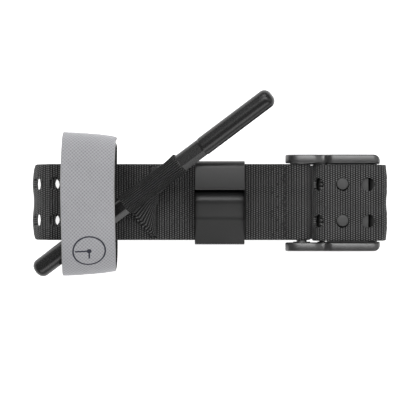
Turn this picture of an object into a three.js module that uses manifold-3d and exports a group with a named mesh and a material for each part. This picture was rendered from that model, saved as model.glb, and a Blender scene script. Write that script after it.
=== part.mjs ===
// Limb tourniquet with a punched webbing belt, a twisting rod, a rod clip, a closing time strap
// and a two-prong self-locking buckle. Millimetres, +Z up, lying as a closed loop on its folded
// tail: X runs along the belt towards the buckle, Y across the belt, Z from the resting face up
// to the rod. The origin is the centre of the resting face.
import * as THREE from 'three';
import { mergeVertices } from 'three/addons/utils/BufferGeometryUtils.js';
import Module from 'manifold-3d';

const wasm = await Module();
wasm.setup();

// ---- driving dimensions ------------------------------------------------------------------
const GAP = 0.3; // between pieces that touch
const WEB_WIDTH = 38.1; // belt, base and sleeve webbing
const WEB_THICK = 1.5;
const LAYER = WEB_THICK + GAP; // pitch of stacked webbing layers
const HOLE_PITCH = 12.7;
const HOLE_ROW_Y = 9.2;
const HOLE_RADIUS = 3.3;

const BASE_TOP = 50; // upper face of the base webbing
const BASE_LEFT = -81;
const BELT_START = -45; // the belt's sewn end, inside the base
const LEFT_OUTER_X = -89;
const RIGHT_OUTER_X = 88.9;
const TAIL_FOLD_LEFT = -72;
const TAIL_FOLD_RIGHT = 78;
const LEFT_BEND_RADIUS = 12.5; // the two corners of the left end
const RIGHT_BEND_RADIUS = 20; // centre line of the outer layer, at the right end's foot
const RIGHT_TOP_RADIUS = 5;
const RIGHT_SLACK = 0.65; // how far the inner layer stands off the outer one, at the right end

const BUCKLE_Y = -0.45; // the buckle sits a little off the belt's centre line
const BUCKLE_LEFT = 38;
const BUCKLE_RIGHT = 85.4;
const BUCKLE_INNER_HALF = 19.85;
const SIDE_PLATE_THICK = 4.35;
const BELT_FRONT_TOP = 52.5; // upper face of the belt over the buckle
const WRAP_RADIUS = 8.25; // centre line of the belt's turn round the roller
const WRAP_X = 60.6;
const STRAP_BAR = { x: 46.2, radius: 2.6 };
const ROLLER = { x: 56.6, z: 43, pinRadius: 1.5, radius: 2.8, length: 29 };
const SLIDE_TRAVEL = 3;
const ROCKER_PIN = { x: 82.4, z: 47.6, radius: 1.5 };
const PRONG_X = 66.5;
const PRONG_RADIUS = 2.7;
const PRONG_FLUSH = 0.3; // the prongs' tops lie this far under the belt's upper face
const TOP_PLATE = { left: 58.7, right: 79.3, thick: 1.3 };
const SPRING = { z: 41, radius: 2.2, wire: 0.6, spacing: 10 };

const BAND_WIDTH = 34.5;
const BAND_THICK = 1.3;
const STIFFENER_THICK = 1.2;
const SLOT_LEFT = -31;
const SLOT_RIGHT = -25;
const BAND_LEFT_END = -42;
const BAND_RIGHT_END = 27;

const PIVOT = new THREE.Vector3(-28, 8.8, 66.8); // middle of the rod
const ROD_TURN = THREE.MathUtils.degToRad(36.7); // from the belt's direction
const ROD_TILT = THREE.MathUtils.degToRad(10.5); // right end up
const ROD_LENGTH = 148;
const ROD_RADIUS = 4.75;
const ROD_WAIST_RADIUS = 3.2;
const ROD_WAIST_LENGTH = 36;
const ROD_NECK_END = 31.5; // where the neck meets the grip
const ROD_NECK_STEP = 0.25; // how far the neck lies under the grip's surface
const ROD_TIP_ROUNDING = 3.6;
const POCKET = { length: 34.8, inner: 3.5, outer: 5 };

const CLIP = { left: -7.35, right: 17.5, top: 20.3, bottom: -21.25, height: 15, wall: 2 };
const CLIP_JAW = { thick: 2.6, edgeY: 6, chamfer: 1, corner: 3.4, innerCorner: 2 };
const CLIP_HUMP = {
  frontY: 5.7, // the foot of the rounded face towards the rod's channel
  shoulderY: 4.5, // where that face would turn level if it had a sharp corner
  crestY: 0.8,
  height: 2.6,
  footY: -7.25, // the end of the long slope towards the clip's lower edge
  footHeight: 0.4,
};
const CLIP_LIP = 0.9; // the edges that grip the webbing's sides

const TIME = { left: -72.8, right: -46.3, y: -0.95, halfWidth: 34.1, z: 61.3, thick: 1.6 };
const TIME_SIDE_RADIUS = 16.7; // centre line of the ring's bend at the flap's root
const TIME_CLOSE_RADIUS = 10.4; // and on the side where it closes
const TIME_RISE = 16.6; // from the ring's widest level to its top
const TIME_FLAP_DROP = 6; // how far the flap's end hangs below the ring's widest level
const TIME_OVERLAP = 3.4; // how far inside the flap the back strap's end stands

// ---- materials ---------------------------------------------------------------------------
const materials = {
  webbing: { color: 0x2b2b2c, roughness: 0.9, metalness: 0 },
  timeStrap: { color: 0xb4b3b9, roughness: 0.9, metalness: 0 },
  hookAndLoop: { color: 0x1b1b1c, roughness: 1, metalness: 0 },
  rod: { color: 0x3a3b3d, roughness: 0.45, metalness: 0.9 },
  plastic: { color: 0x3a3a3b, roughness: 0.5, metalness: 0 },
  buckle: { color: 0x3d3d3f, roughness: 0.45, metalness: 0.7 },
  steel: { color: 0x8f9094, roughness: 0.35, metalness: 1 },
};

const tourniquet = new THREE.Group();

function addPart(name, geometry, look) {
  geometry.deleteAttribute('uv');
  const mesh = new THREE.Mesh(geometry, new THREE.MeshStandardMaterial(materials[look]));
  mesh.name = name;
  tourniquet.add(mesh);
}

// ---- solids ------------------------------------------------------------------------------
function toSolid(geometry) {
  const plain = geometry.clone();
  plain.deleteAttribute('normal');
  plain.deleteAttribute('uv');
  const merged = mergeVertices(plain, 1e-4);
  const solid = new wasm.Manifold(
    new wasm.Mesh({
      numProp: 3,
      vertProperties: new Float32Array(merged.attributes.position.array),
      triVerts: new Uint32Array(merged.index.array),
    }),
  );
  return solid;
}

function toGeometry(solid) {
  const mesh = solid.getMesh();
  const geometry = new THREE.BufferGeometry();
  geometry.setAttribute('position', new THREE.BufferAttribute(mesh.vertProperties, 3));
  geometry.setIndex(new THREE.BufferAttribute(mesh.triVerts, 1));
  geometry.computeVertexNormals();
  return geometry;
}

function cut(geometry, ...tools) {
  let solid = toSolid(geometry);
  for (const tool of tools) {
    solid = solid.subtract(toSolid(tool));
  }
  return toGeometry(solid);
}

function join(geometry, ...others) {
  let solid = toSolid(geometry);
  for (const other of others) {
    solid = solid.add(toSolid(other));
  }
  return toGeometry(solid);
}

function box(low, high) {
  const size = high.map((value, axis) => value - low[axis]);
  const geometry = new THREE.BoxGeometry(...size);
  geometry.translate(...low.map((value, axis) => (value + high[axis]) / 2));
  return geometry;
}

// A round bar between two points.
function bar(from, to, radius, segments = 20) {
  const start = new THREE.Vector3(...from);
  const end = new THREE.Vector3(...to);
  const along = end.clone().sub(start);
  const geometry = new THREE.CylinderGeometry(radius, radius, along.length(), segments);
  const turn = new THREE.Quaternion().setFromUnitVectors(
    new THREE.Vector3(0, 1, 0),
    along.clone().normalize(),
  );
  geometry.applyQuaternion(turn);
  const middle = start.add(end).multiplyScalar(0.5);
  geometry.translate(middle.x, middle.y, middle.z);
  return geometry;
}

// A shape drawn in XZ, as thick as yHigh - yLow.
function extrudeAlongY(shape, yLow, yHigh, curveSegments = 12) {
  const options = { depth: yHigh - yLow, bevelEnabled: false, curveSegments };
  const geometry = new THREE.ExtrudeGeometry(shape, options);
  geometry.rotateX(Math.PI / 2);
  geometry.translate(0, yHigh, 0);
  return geometry;
}

// A shape drawn in YZ, from xLow to xHigh.
function extrudeAlongX(shape, xLow, xHigh, curveSegments = 12) {
  const options = { depth: xHigh - xLow, bevelEnabled: false, curveSegments };
  const geometry = new THREE.ExtrudeGeometry(shape, options);
  const axes = new THREE.Matrix4().makeBasis(
    new THREE.Vector3(0, 1, 0),
    new THREE.Vector3(0, 0, 1),
    new THREE.Vector3(1, 0, 0),
  );
  geometry.applyMatrix4(axes);
  geometry.translate(xLow, 0, 0);
  return geometry;
}

// The outline of a ribbon of even thickness along a centre line.
function ribbonShape(path, thick, divisions) {
  const centre = path.getPoints(divisions);
  const points = centre.filter(
    (point, i) => i === 0 || point.distanceTo(centre[i - 1]) > 0.02,
  );
  const left = [];
  const right = [];
  points.forEach((point, i) => {
    const before = points[Math.max(i - 1, 0)];
    const after = points[Math.min(i + 1, points.length - 1)];
    const along = after.clone().sub(before).normalize();
    const normal = new THREE.Vector2(-along.y, along.x).multiplyScalar(thick / 2);
    left.push(point.clone().add(normal));
    right.push(point.clone().sub(normal));
  });
  return new THREE.Shape([...left, ...right.reverse()]);
}

// ---- webbing -----------------------------------------------------------------------------
const half = WEB_WIDTH / 2;
const quarter = Math.PI / 2;
const baseZ = BASE_TOP - WEB_THICK / 2;
const beltTopZ = baseZ - LAYER; // the belt's first stretch, under the base
const passZ = [3, 2, 1, 0].map((n) => WEB_THICK / 2 + n * LAYER); // passes A, B, C and D
const frontZ = BELT_FRONT_TOP - WEB_THICK / 2;
const wrapZ = frontZ - WRAP_RADIUS;

// The belt's centre line: out of the base, round the left end, along the floor, up into the
// buckle, round the roller, over the prongs, down the right end and into the folded tail.
function beltPath() {
  const [passA, passB, passC, passD] = passZ;
  const leftRadius = LEFT_BEND_RADIUS;
  const leftX = LEFT_OUTER_X + WEB_THICK / 2 + leftRadius;
  const outerX = RIGHT_OUTER_X - WEB_THICK / 2;
  const footX = outerX - RIGHT_BEND_RADIUS;
  const footZ = passB + RIGHT_BEND_RADIUS;
  const innerRadius = RIGHT_BEND_RADIUS - LAYER;
  const innerX = outerX - LAYER - RIGHT_SLACK;
  const lowZ = frontZ - 2 * WRAP_RADIUS;
  const turnX = innerX - RIGHT_TOP_RADIUS;
  const foldRadius = LAYER / 2;

  const path = new THREE.Path();
  path.moveTo(BELT_START, beltTopZ);
  path.lineTo(leftX, beltTopZ);
  path.absarc(leftX, beltTopZ - leftRadius, leftRadius, quarter, 2 * quarter, false);
  path.lineTo(leftX - leftRadius, passA + leftRadius);
  path.absarc(leftX, passA + leftRadius, leftRadius, 2 * quarter, 3 * quarter, false);
  path.lineTo(footX - RIGHT_SLACK, passA);
  path.absarc(footX - RIGHT_SLACK, footZ, innerRadius, -quarter, 0, false);
  path.lineTo(innerX, lowZ - RIGHT_TOP_RADIUS);
  path.absarc(turnX, lowZ - RIGHT_TOP_RADIUS, RIGHT_TOP_RADIUS, 0, quarter, false);
  path.lineTo(WRAP_X, lowZ);
  path.absarc(WRAP_X, wrapZ, WRAP_RADIUS, -quarter, -3 * quarter, true);
  path.lineTo(outerX - RIGHT_TOP_RADIUS, frontZ);
  path.absarc(
    outerX - RIGHT_TOP_RADIUS, frontZ - RIGHT_TOP_RADIUS, RIGHT_TOP_RADIUS, quarter, 0, true,
  );
  path.lineTo(outerX, footZ);
  path.absarc(footX, footZ, RIGHT_BEND_RADIUS, 0, -quarter, true);
  path.lineTo(TAIL_FOLD_LEFT, passB);
  path.absarc(TAIL_FOLD_LEFT, passB - foldRadius, foldRadius, quarter, 3 * quarter, false);
  path.lineTo(TAIL_FOLD_RIGHT, passC);
  path.absarc(TAIL_FOLD_RIGHT, passC - foldRadius, foldRadius, quarter, -quarter, true);
  path.lineTo(TAIL_FOLD_LEFT, passD);
  return path;
}

function beltWebbing() {
  const ribbon = extrudeAlongY(ribbonShape(beltPath(), WEB_THICK, 10), -half, half);
  const holes = [];
  for (const x of [PRONG_X, PRONG_X + HOLE_PITCH]) {
    for (const y of [-HOLE_ROW_Y, HOLE_ROW_Y]) {
      holes.push(bar([x, y, frontZ - 3], [x, y, frontZ + 3], HOLE_RADIUS));
    }
  }
  return cut(ribbon, ...holes);
}

// The base webbing lies on top, loops round the strap bar and comes back under itself.
const strapBarZ = baseZ - WEB_THICK / 2 - GAP - STRAP_BAR.radius;
function baseWebbing() {
  const loopRadius = baseZ - strapBarZ;
  const returnZ = baseZ - LAYER;
  const path = new THREE.Path();
  path.moveTo(BASE_LEFT, baseZ);
  path.lineTo(STRAP_BAR.x, baseZ);
  path.absarc(STRAP_BAR.x, strapBarZ, loopRadius, quarter, -quarter - 0.5, true);
  path.quadraticCurveTo(STRAP_BAR.x - 6.5, returnZ, STRAP_BAR.x - 9.5, returnZ);
  path.lineTo(BAND_RIGHT_END + 1.5, returnZ);
  const ribbon = extrudeAlongY(ribbonShape(path, WEB_THICK, 8), -half, half);
  const slotHalf = BAND_WIDTH / 2 + 0.5;
  return cut(
    ribbon,
    box([SLOT_LEFT, -slotHalf, BASE_TOP - 3], [SLOT_RIGHT, slotHalf, BASE_TOP + 3]),
  );
}

const bandTop = BASE_TOP - LAYER;
const stiffenerTop = bandTop - BAND_THICK - GAP;
const sleeveTop = stiffenerTop - STIFFENER_THICK - GAP;
const bandHalf = BAND_WIDTH / 2;

addPart('belt_webbing', beltWebbing(), 'webbing');
addPart('base_webbing', baseWebbing(), 'webbing');
addPart(
  'sleeve_back',
  box([BAND_LEFT_END, -half, sleeveTop - WEB_THICK], [BUCKLE_LEFT, half, sleeveTop]),
  'webbing',
);
addPart(
  'stiffener_plate',
  box(
    [BAND_LEFT_END + 1, -bandHalf, stiffenerTop - STIFFENER_THICK],
    [BAND_RIGHT_END, bandHalf, stiffenerTop],
  ),
  'plastic',
);

// ---- windlass band -----------------------------------------------------------------------
const LAYER_LOOSENESS = 0.2; // air between the band's two rising layers and round them
const riseHalfThick = BAND_THICK + LAYER_LOOSENESS;
const bandMiddle = (SLOT_LEFT + SLOT_RIGHT) / 2;
addPart(
  'band_left',
  box(
    [BAND_LEFT_END, -bandHalf, bandTop - BAND_THICK],
    [bandMiddle - riseHalfThick - GAP, bandHalf, bandTop],
  ),
  'webbing',
);
addPart(
  'band_right',
  box(
    [bandMiddle + riseHalfThick + GAP, -bandHalf, bandTop - BAND_THICK],
    [BAND_RIGHT_END, bandHalf, bandTop],
  ),
  'webbing',
);

const rodAlong = new THREE.Vector3(
  Math.cos(ROD_TURN) * Math.cos(ROD_TILT),
  Math.sin(ROD_TURN) * Math.cos(ROD_TILT),
  Math.sin(ROD_TILT),
);

// The band's two layers rise through the slot and twist up to the pocket: a block whose long
// side turns from across the belt to along the rod.
function bandRise() {
  const foot = new THREE.Vector3(bandMiddle, 0, bandTop - BAND_THICK);
  const head = PIVOT.clone();
  head.z -= (POCKET.outer + GAP) / Math.cos(ROD_TILT);
  const steps = 12;
  const straight = 0.24; // the share of the height that stays inside the slot
  const positions = [];
  for (let i = 0; i <= steps; i += 1) {
    const level = i / steps;
    const share = THREE.MathUtils.smoothstep(level, straight, 1);
    const turn = THREE.MathUtils.lerp(quarter, ROD_TURN, share);
    const centre = foot.clone().lerp(head, level);
    centre.x = THREE.MathUtils.lerp(foot.x, head.x, share);
    centre.y = THREE.MathUtils.lerp(foot.y, head.y, share);
    const wide = new THREE.Vector3(Math.cos(turn), Math.sin(turn), rodAlong.z * share);
    const thin = new THREE.Vector3(-Math.sin(turn), Math.cos(turn), 0);
    for (const [a, b] of [[-1, -1], [1, -1], [1, 1], [-1, 1]]) {
      const corner = centre
        .clone()
        .addScaledVector(wide, a * bandHalf)
        .addScaledVector(thin, b * riseHalfThick);
      positions.push(...corner);
    }
  }
  const faces = [];
  for (let i = 0; i < steps; i += 1) {
    for (let k = 0; k < 4; k += 1) {
      const a = 4 * i + k;
      const b = 4 * i + ((k + 1) % 4);
      faces.push(a, b, b + 4, a, b + 4, a + 4);
    }
  }
  const last = 4 * steps;
  faces.push(0, 2, 1, 0, 3, 2, last, last + 1, last + 2, last, last + 2, last + 3);
  const geometry = new THREE.BufferGeometry();
  geometry.setAttribute('position', new THREE.Float32BufferAttribute(positions, 3));
  geometry.setIndex(faces);
  geometry.computeVertexNormals();
  return geometry;
}
addPart('band_rise', bandRise(), 'webbing');

// ---- rod ---------------------------------------------------------------------------------
// Turns something built along +Y at the origin into the rod's place.
function placeOnRod(geometry) {
  const turn = new THREE.Quaternion().setFromUnitVectors(new THREE.Vector3(0, 1, 0), rodAlong);
  geometry.applyQuaternion(turn);
  geometry.translate(PIVOT.x, PIVOT.y, PIVOT.z);
  return geometry;
}

function windlassRod() {
  const tip = ROD_LENGTH / 2;
  const waist = ROD_WAIST_LENGTH / 2;
  const rounding = ROD_TIP_ROUNDING;
  const neckRadius = ROD_RADIUS - ROD_NECK_STEP;
  const slope = 2 * ROD_NECK_STEP;
  const shoulder = 1; // the slope between waist and neck
  const profile = new THREE.Path();
  profile.moveTo(0, -tip);
  profile.lineTo(ROD_RADIUS - rounding, -tip);
  profile.absarc(ROD_RADIUS - rounding, -tip + rounding, rounding, -quarter, 0, false);
  profile.lineTo(ROD_RADIUS, -ROD_NECK_END);
  profile.lineTo(neckRadius, -ROD_NECK_END + slope);
  profile.lineTo(neckRadius, -waist - shoulder);
  profile.lineTo(ROD_WAIST_RADIUS, -waist);
  profile.lineTo(ROD_WAIST_RADIUS, waist);
  profile.lineTo(neckRadius, waist + shoulder);
  profile.lineTo(neckRadius, ROD_NECK_END - slope);
  profile.lineTo(ROD_RADIUS, ROD_NECK_END);
  profile.absarc(ROD_RADIUS - rounding, tip - rounding, rounding, 0, quarter, false);
  profile.lineTo(0, tip);
  return placeOnRod(new THREE.LatheGeometry(profile.getPoints(5), 24));
}

function rodPocket() {
  const ring = new THREE.Shape();
  ring.absarc(0, 0, POCKET.outer, 0, 2 * Math.PI, false);
  const bore = new THREE.Path();
  bore.absarc(0, 0, POCKET.inner, 0, 2 * Math.PI, true);
  ring.holes.push(bore);
  const tube = extrudeAlongY(ring, -POCKET.length / 2, POCKET.length / 2, 12);
  return placeOnRod(tube);
}
addPart('windlass_rod', windlassRod(), 'rod');
addPart('rod_pocket', rodPocket(), 'webbing');

// ---- rod clip ----------------------------------------------------------------------------
// One moulded piece: a plate on the base with a jaw that hooks over the rod's channel, and a
// low hump that keeps the rod in. Drawn in YZ.
function rodClip() {
  const low = BASE_TOP + GAP;
  const floor = low + CLIP.wall;
  const top = BASE_TOP + CLIP.height;
  const { thick, edgeY, chamfer, corner, innerCorner } = CLIP_JAW;
  const { frontY, shoulderY, crestY, height, footY, footHeight } = CLIP_HUMP;
  const channelY = CLIP.top - CLIP.wall - innerCorner;
  const ceiling = top - thick;
  const edge = 1; // the chamfer at the plate's lower end
  const shape = new THREE.Shape();
  shape.moveTo(CLIP.bottom, low);
  shape.lineTo(CLIP.top, low);
  shape.lineTo(CLIP.top, top - corner);
  shape.absarc(CLIP.top - corner, top - corner, corner, 0, quarter, false);
  shape.lineTo(edgeY + chamfer, top);
  shape.lineTo(edgeY, top - chamfer);
  shape.lineTo(edgeY, ceiling);
  shape.lineTo(channelY, ceiling);
  shape.absarc(channelY, ceiling - innerCorner, innerCorner, quarter, 0, true);
  shape.lineTo(channelY + innerCorner, floor + innerCorner);
  shape.absarc(channelY, floor + innerCorner, innerCorner, 0, -quarter, true);
  shape.lineTo(frontY, floor);
  shape.quadraticCurveTo(shoulderY, floor + height, crestY, floor + height);
  shape.lineTo(footY, floor + footHeight);
  shape.lineTo(CLIP.bottom + edge, floor);
  shape.lineTo(CLIP.bottom, floor - edge);
  const body = extrudeAlongX(shape, CLIP.left, CLIP.right, 5);
  const lipLow = BASE_TOP - WEB_THICK;
  return join(
    body,
    box([CLIP.left, CLIP.bottom, lipLow], [CLIP.right, CLIP.bottom + CLIP_LIP, low + 1]),
    box([CLIP.left, CLIP.top - CLIP_LIP, lipLow], [CLIP.right, CLIP.top, low + 1]),
  );
}
addPart('rod_clip', rodClip(), 'plastic');

// ---- time strap --------------------------------------------------------------------------
// A closed ring round the base and the rod's left end, drawn in YZ. The back strap is sewn
// under the base. The flap swings from the ring's lower side (-Y), goes over the rod and closes
// on the back strap's free end, on the upper side (+Y).
const ringLowZ = TIME.z - GAP - TIME_SIDE_RADIUS;
const hingeY = TIME.y - TIME.halfWidth;
const closeY = TIME.y + TIME.halfWidth;

function timeStrapBack() {
  const endY = closeY - TIME_OVERLAP;
  const path = new THREE.Path();
  const rootY = hingeY + TIME_SIDE_RADIUS;
  path.absarc(rootY, TIME.z - GAP, TIME_SIDE_RADIUS, 2 * quarter, 3 * quarter);
  path.lineTo(endY - TIME_CLOSE_RADIUS, ringLowZ);
  path.absarc(
    endY - TIME_CLOSE_RADIUS, ringLowZ + TIME_CLOSE_RADIUS, TIME_CLOSE_RADIUS, -quarter, 0,
  );
  path.lineTo(endY, TIME.z);
  return extrudeAlongX(ribbonShape(path, TIME.thick, 8), TIME.left, TIME.right);
}

// The flap's centre line: half a superellipse, then straight down outside the back strap.
function timeStrapFlap() {
  const power = 2.4;
  const steps = 28;
  const points = [];
  for (let i = 0; i <= steps; i += 1) {
    const angle = (Math.PI * i) / steps;
    const across = Math.abs(Math.cos(angle)) ** (2 / power) * TIME.halfWidth;
    const up = Math.abs(Math.sin(angle)) ** (2 / power) * TIME_RISE;
    points.push(new THREE.Vector2(TIME.y - Math.sign(Math.cos(angle)) * across, TIME.z + up));
  }
  points.push(new THREE.Vector2(closeY, flapEndZ));
  const path = new THREE.Path(points);
  return extrudeAlongX(ribbonShape(path, TIME.thick, 1), TIME.left, TIME.right);
}

function closurePatch(yLow, thick) {
  const inset = 1.5;
  const top = TIME.z - 0.5;
  return box([TIME.left + inset, yLow, flapEndZ], [TIME.right - inset, yLow + thick, top]);
}

const flapEndZ = TIME.z - TIME_FLAP_DROP;
const hookThick = 0.6;
const loopThick = 0.3;
const backOuterY = closeY - TIME_OVERLAP + TIME.thick / 2;
const flapInnerY = closeY - TIME.thick / 2;
addPart('time_strap_back', timeStrapBack(), 'timeStrap');
addPart('time_strap_flap', timeStrapFlap(), 'timeStrap');
addPart(
  'hook_patch',
  closurePatch(backOuterY + GAP, hookThick),
  'hookAndLoop',
);
addPart(
  'loop_patch',
  closurePatch(flapInnerY - GAP - loopThick, loopThick),
  'hookAndLoop',
);

// ---- buckle ------------------------------------------------------------------------------
const innerLow = BUCKLE_Y - BUCKLE_INNER_HALF;
const innerHigh = BUCKLE_Y + BUCKLE_INNER_HALF;
const outerLow = innerLow - SIDE_PLATE_THICK;
const outerHigh = innerHigh + SIDE_PLATE_THICK;
const pinInset = 0.8; // pins end this far inside the plates' outer faces

// A side plate's outline in XZ: two lobes with a waist between them.
const PLATE = { bottom: 36.5, top: BELT_FRONT_TOP + 1, waistX: 56.9, waistDip: 3.2, corner: 3.7 };
function sidePlateShape() {
  const { bottom, top, waistX, waistDip, corner } = PLATE;
  const leftFoot = { x: BUCKLE_LEFT + 7, z: bottom + 2.5 };
  const leftTop = { x: BUCKLE_LEFT + 10, z: top - 1.6 };
  const shape = new THREE.Shape();
  shape.moveTo(leftFoot.x, leftFoot.z);
  shape.quadraticCurveTo(BUCKLE_LEFT + 14, bottom + 1, waistX, bottom + waistDip);
  shape.quadraticCurveTo(waistX + 5, bottom, waistX + 12, bottom);
  shape.lineTo(BUCKLE_RIGHT - corner, bottom + 1);
  shape.quadraticCurveTo(BUCKLE_RIGHT, bottom + 1.5, BUCKLE_RIGHT, bottom + corner + 2);
  shape.lineTo(BUCKLE_RIGHT, top - corner - 1);
  shape.quadraticCurveTo(BUCKLE_RIGHT, top - 1, BUCKLE_RIGHT - corner, top - 0.6);
  shape.lineTo(waistX + 8, top);
  shape.quadraticCurveTo(waistX + 3.5, top, waistX, top - waistDip);
  shape.quadraticCurveTo(waistX - 4, top - 1.2, leftTop.x, leftTop.z);
  shape.quadraticCurveTo(BUCKLE_LEFT, top - 2, BUCKLE_LEFT, strapBarZ);
  shape.quadraticCurveTo(BUCKLE_LEFT, bottom + 3.5, leftFoot.x, leftFoot.z);
  return shape;
}

// What a plate loses where its outer face turns round to its right end.
function outerCorner(outerY, inwards) {
  const radius = PLATE.corner;
  const x = BUCKLE_RIGHT - radius;
  const y = outerY + inwards * radius;
  const block = box(
    [x, Math.min(y, y - inwards * (radius + 1)), PLATE.bottom - 1],
    [BUCKLE_RIGHT + 1, Math.max(y, y - inwards * (radius + 1)), PLATE.top + 1],
  );
  return cut(block, bar([x, y, PLATE.bottom - 2], [x, y, PLATE.top + 2], radius, 32));
}

function sidePlate(yLow, yHigh) {
  const outline = extrudeAlongY(sidePlateShape(), yLow, yHigh, 6);
  const atTop = yLow > 0;
  const plate = cut(outline, outerCorner(atTop ? yHigh : yLow, atTop ? -1 : 1));
  const through = (x, z, radius) => bar([x, yLow - 1, z], [x, yHigh + 1, z], radius, 16);
  const slotRadius = ROLLER.pinRadius + GAP;
  return cut(
    plate,
    through(STRAP_BAR.x, strapBarZ, STRAP_BAR.radius + GAP),
    through(ROCKER_PIN.x, ROCKER_PIN.z, ROCKER_PIN.radius + GAP),
    through(ROLLER.x, ROLLER.z, slotRadius),
    through(ROLLER.x + SLIDE_TRAVEL, ROLLER.z, slotRadius),
    box(
      [ROLLER.x, yLow - 1, ROLLER.z - slotRadius],
      [ROLLER.x + SLIDE_TRAVEL, yHigh + 1, ROLLER.z + slotRadius],
    ),
  );
}

function crossPin(x, z, radius, segments) {
  return bar([x, outerLow + pinInset, z], [x, outerHigh - pinInset, z], radius, segments);
}

function rollerSleeve() {
  const from = [ROLLER.x, BUCKLE_Y - ROLLER.length / 2, ROLLER.z];
  const to = [ROLLER.x, BUCKLE_Y + ROLLER.length / 2, ROLLER.z];
  const beyond = (point, step) => [point[0], point[1] + step, point[2]];
  return cut(
    bar(from, to, ROLLER.radius, 24),
    bar(beyond(from, -1), beyond(to, 1), ROLLER.pinRadius + GAP, 24),
  );
}

// The yoke that carries the roller's pin in two lugs and leans on the springs.
const yoke = { back: 66, low: 39.4, high: 43.6, lugRadius: 2.6, lugWidth: 2.6 };
function carriage() {
  const lugInner = ROLLER.length / 2 + GAP;
  const lugOuter = lugInner + yoke.lugWidth;
  const crossFront = ROLLER.x + ROLLER.radius + 1;
  let body = box(
    [crossFront, BUCKLE_Y - lugOuter, yoke.low],
    [yoke.back, BUCKLE_Y + lugOuter, yoke.high],
  );
  const lugZ = ROLLER.z;
  for (const [a, b] of [[-lugOuter, -lugInner], [lugInner, lugOuter]]) {
    body = join(
      body,
      bar([ROLLER.x, BUCKLE_Y + a, lugZ], [ROLLER.x, BUCKLE_Y + b, lugZ], yoke.lugRadius, 20),
      box([ROLLER.x, BUCKLE_Y + a, lugZ - yoke.lugRadius], [yoke.back, BUCKLE_Y + b, lugZ + 1]),
    );
  }
  return cut(body, crossPin(ROLLER.x, ROLLER.z, ROLLER.pinRadius + GAP, 16));
}

// The plate that backs the belt over the prongs.
function topPlate() {
  const top = BELT_FRONT_TOP - WEB_THICK - GAP;
  const reach = BUCKLE_INNER_HALF - GAP;
  let plate = box(
    [TOP_PLATE.left, BUCKLE_Y - reach, top - TOP_PLATE.thick],
    [TOP_PLATE.right, BUCKLE_Y + reach, top],
  );
  for (const y of [-HOLE_ROW_Y, HOLE_ROW_Y]) {
    plate = cut(plate, bar([PRONG_X, y, top - 3], [PRONG_X, y, top + 1], HOLE_RADIUS, 20));
  }
  return plate;
}

const rocker = { top: 46.9, thick: 1.6, left: 62, barrel: 2.6 };
function prongRocker() {
  const reach = 15.5;
  const plate = box(
    [rocker.left, BUCKLE_Y - reach, rocker.top - rocker.thick],
    [ROCKER_PIN.x, BUCKLE_Y + reach, rocker.top],
  );
  const barrel = bar(
    [ROCKER_PIN.x, BUCKLE_Y - reach, ROCKER_PIN.z],
    [ROCKER_PIN.x, BUCKLE_Y + reach, ROCKER_PIN.z],
    rocker.barrel,
    20,
  );
  const pinHole = crossPin(ROCKER_PIN.x, ROCKER_PIN.z, ROCKER_PIN.radius + GAP, 16);
  return cut(join(plate, barrel), pinHole);
}

function prong(y) {
  const top = BELT_FRONT_TOP - PRONG_FLUSH;
  return bar([PRONG_X, y, rocker.top + GAP], [PRONG_X, y, top], PRONG_RADIUS, 20);
}

const anchor = { front: 77.5, back: 79.5, low: 37, high: 44.2 };
function springAnchor() {
  const reach = BUCKLE_INNER_HALF - GAP;
  return box(
    [anchor.front, BUCKLE_Y - reach, anchor.low],
    [anchor.back, BUCKLE_Y + reach, anchor.high],
  );
}

// A helical compression spring between the yoke and the anchor.
function spring(y) {
  class Helix extends THREE.Curve {
    getPoint(share) {
      const turns = 5;
      const angle = 2 * Math.PI * turns * share;
      const radius = SPRING.radius - SPRING.wire / 2;
      const inset = GAP + SPRING.wire / 2;
      return new THREE.Vector3(
        THREE.MathUtils.lerp(yoke.back + inset, anchor.front - inset, share),
        y + radius * Math.cos(angle),
        SPRING.z + radius * Math.sin(angle),
      );
    }
  }
  const section = new THREE.Shape();
  section.absarc(0, 0, SPRING.wire / 2, 0, 2 * Math.PI, false);
  const options = { steps: 60, extrudePath: new Helix(), curveSegments: 3 };
  return new THREE.ExtrudeGeometry(section, options);
}

function springGuide(y) {
  const radius = 1;
  const length = anchor.front - GAP - (yoke.back + SLIDE_TRAVEL + 1);
  const end = anchor.front - GAP;
  return bar([end - length, y, SPRING.z], [end, y, SPRING.z], radius, 12);
}

addPart('side_plate_lower', sidePlate(outerLow, innerLow), 'buckle');
addPart('side_plate_upper', sidePlate(innerHigh, outerHigh), 'buckle');
addPart('strap_bar', crossPin(STRAP_BAR.x, strapBarZ, STRAP_BAR.radius, 24), 'steel');
addPart('rocker_pin', crossPin(ROCKER_PIN.x, ROCKER_PIN.z, ROCKER_PIN.radius, 16), 'steel');
addPart('roller_pin', crossPin(ROLLER.x, ROLLER.z, ROLLER.pinRadius, 16), 'steel');
addPart('roller_sleeve', rollerSleeve(), 'steel');
addPart('carriage', carriage(), 'buckle');
addPart('top_plate', topPlate(), 'plastic');
addPart('prong_rocker', prongRocker(), 'buckle');
addPart('spring_anchor', springAnchor(), 'buckle');
for (const [side, sign] of [['lower', -1], ['upper', 1]]) {
  const springY = BUCKLE_Y + sign * SPRING.spacing;
  addPart(`prong_${side}`, prong(sign * HOLE_ROW_Y), 'steel');
  addPart(`spring_${side}`, spring(springY), 'steel');
  addPart(`spring_guide_${side}`, springGuide(springY), 'steel');
}

export default tourniquet;
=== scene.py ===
"""Looks of a limb tourniquet: webbing, tape, moulded clip, rod and buckle, on the CAD frame."""
import math

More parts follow.
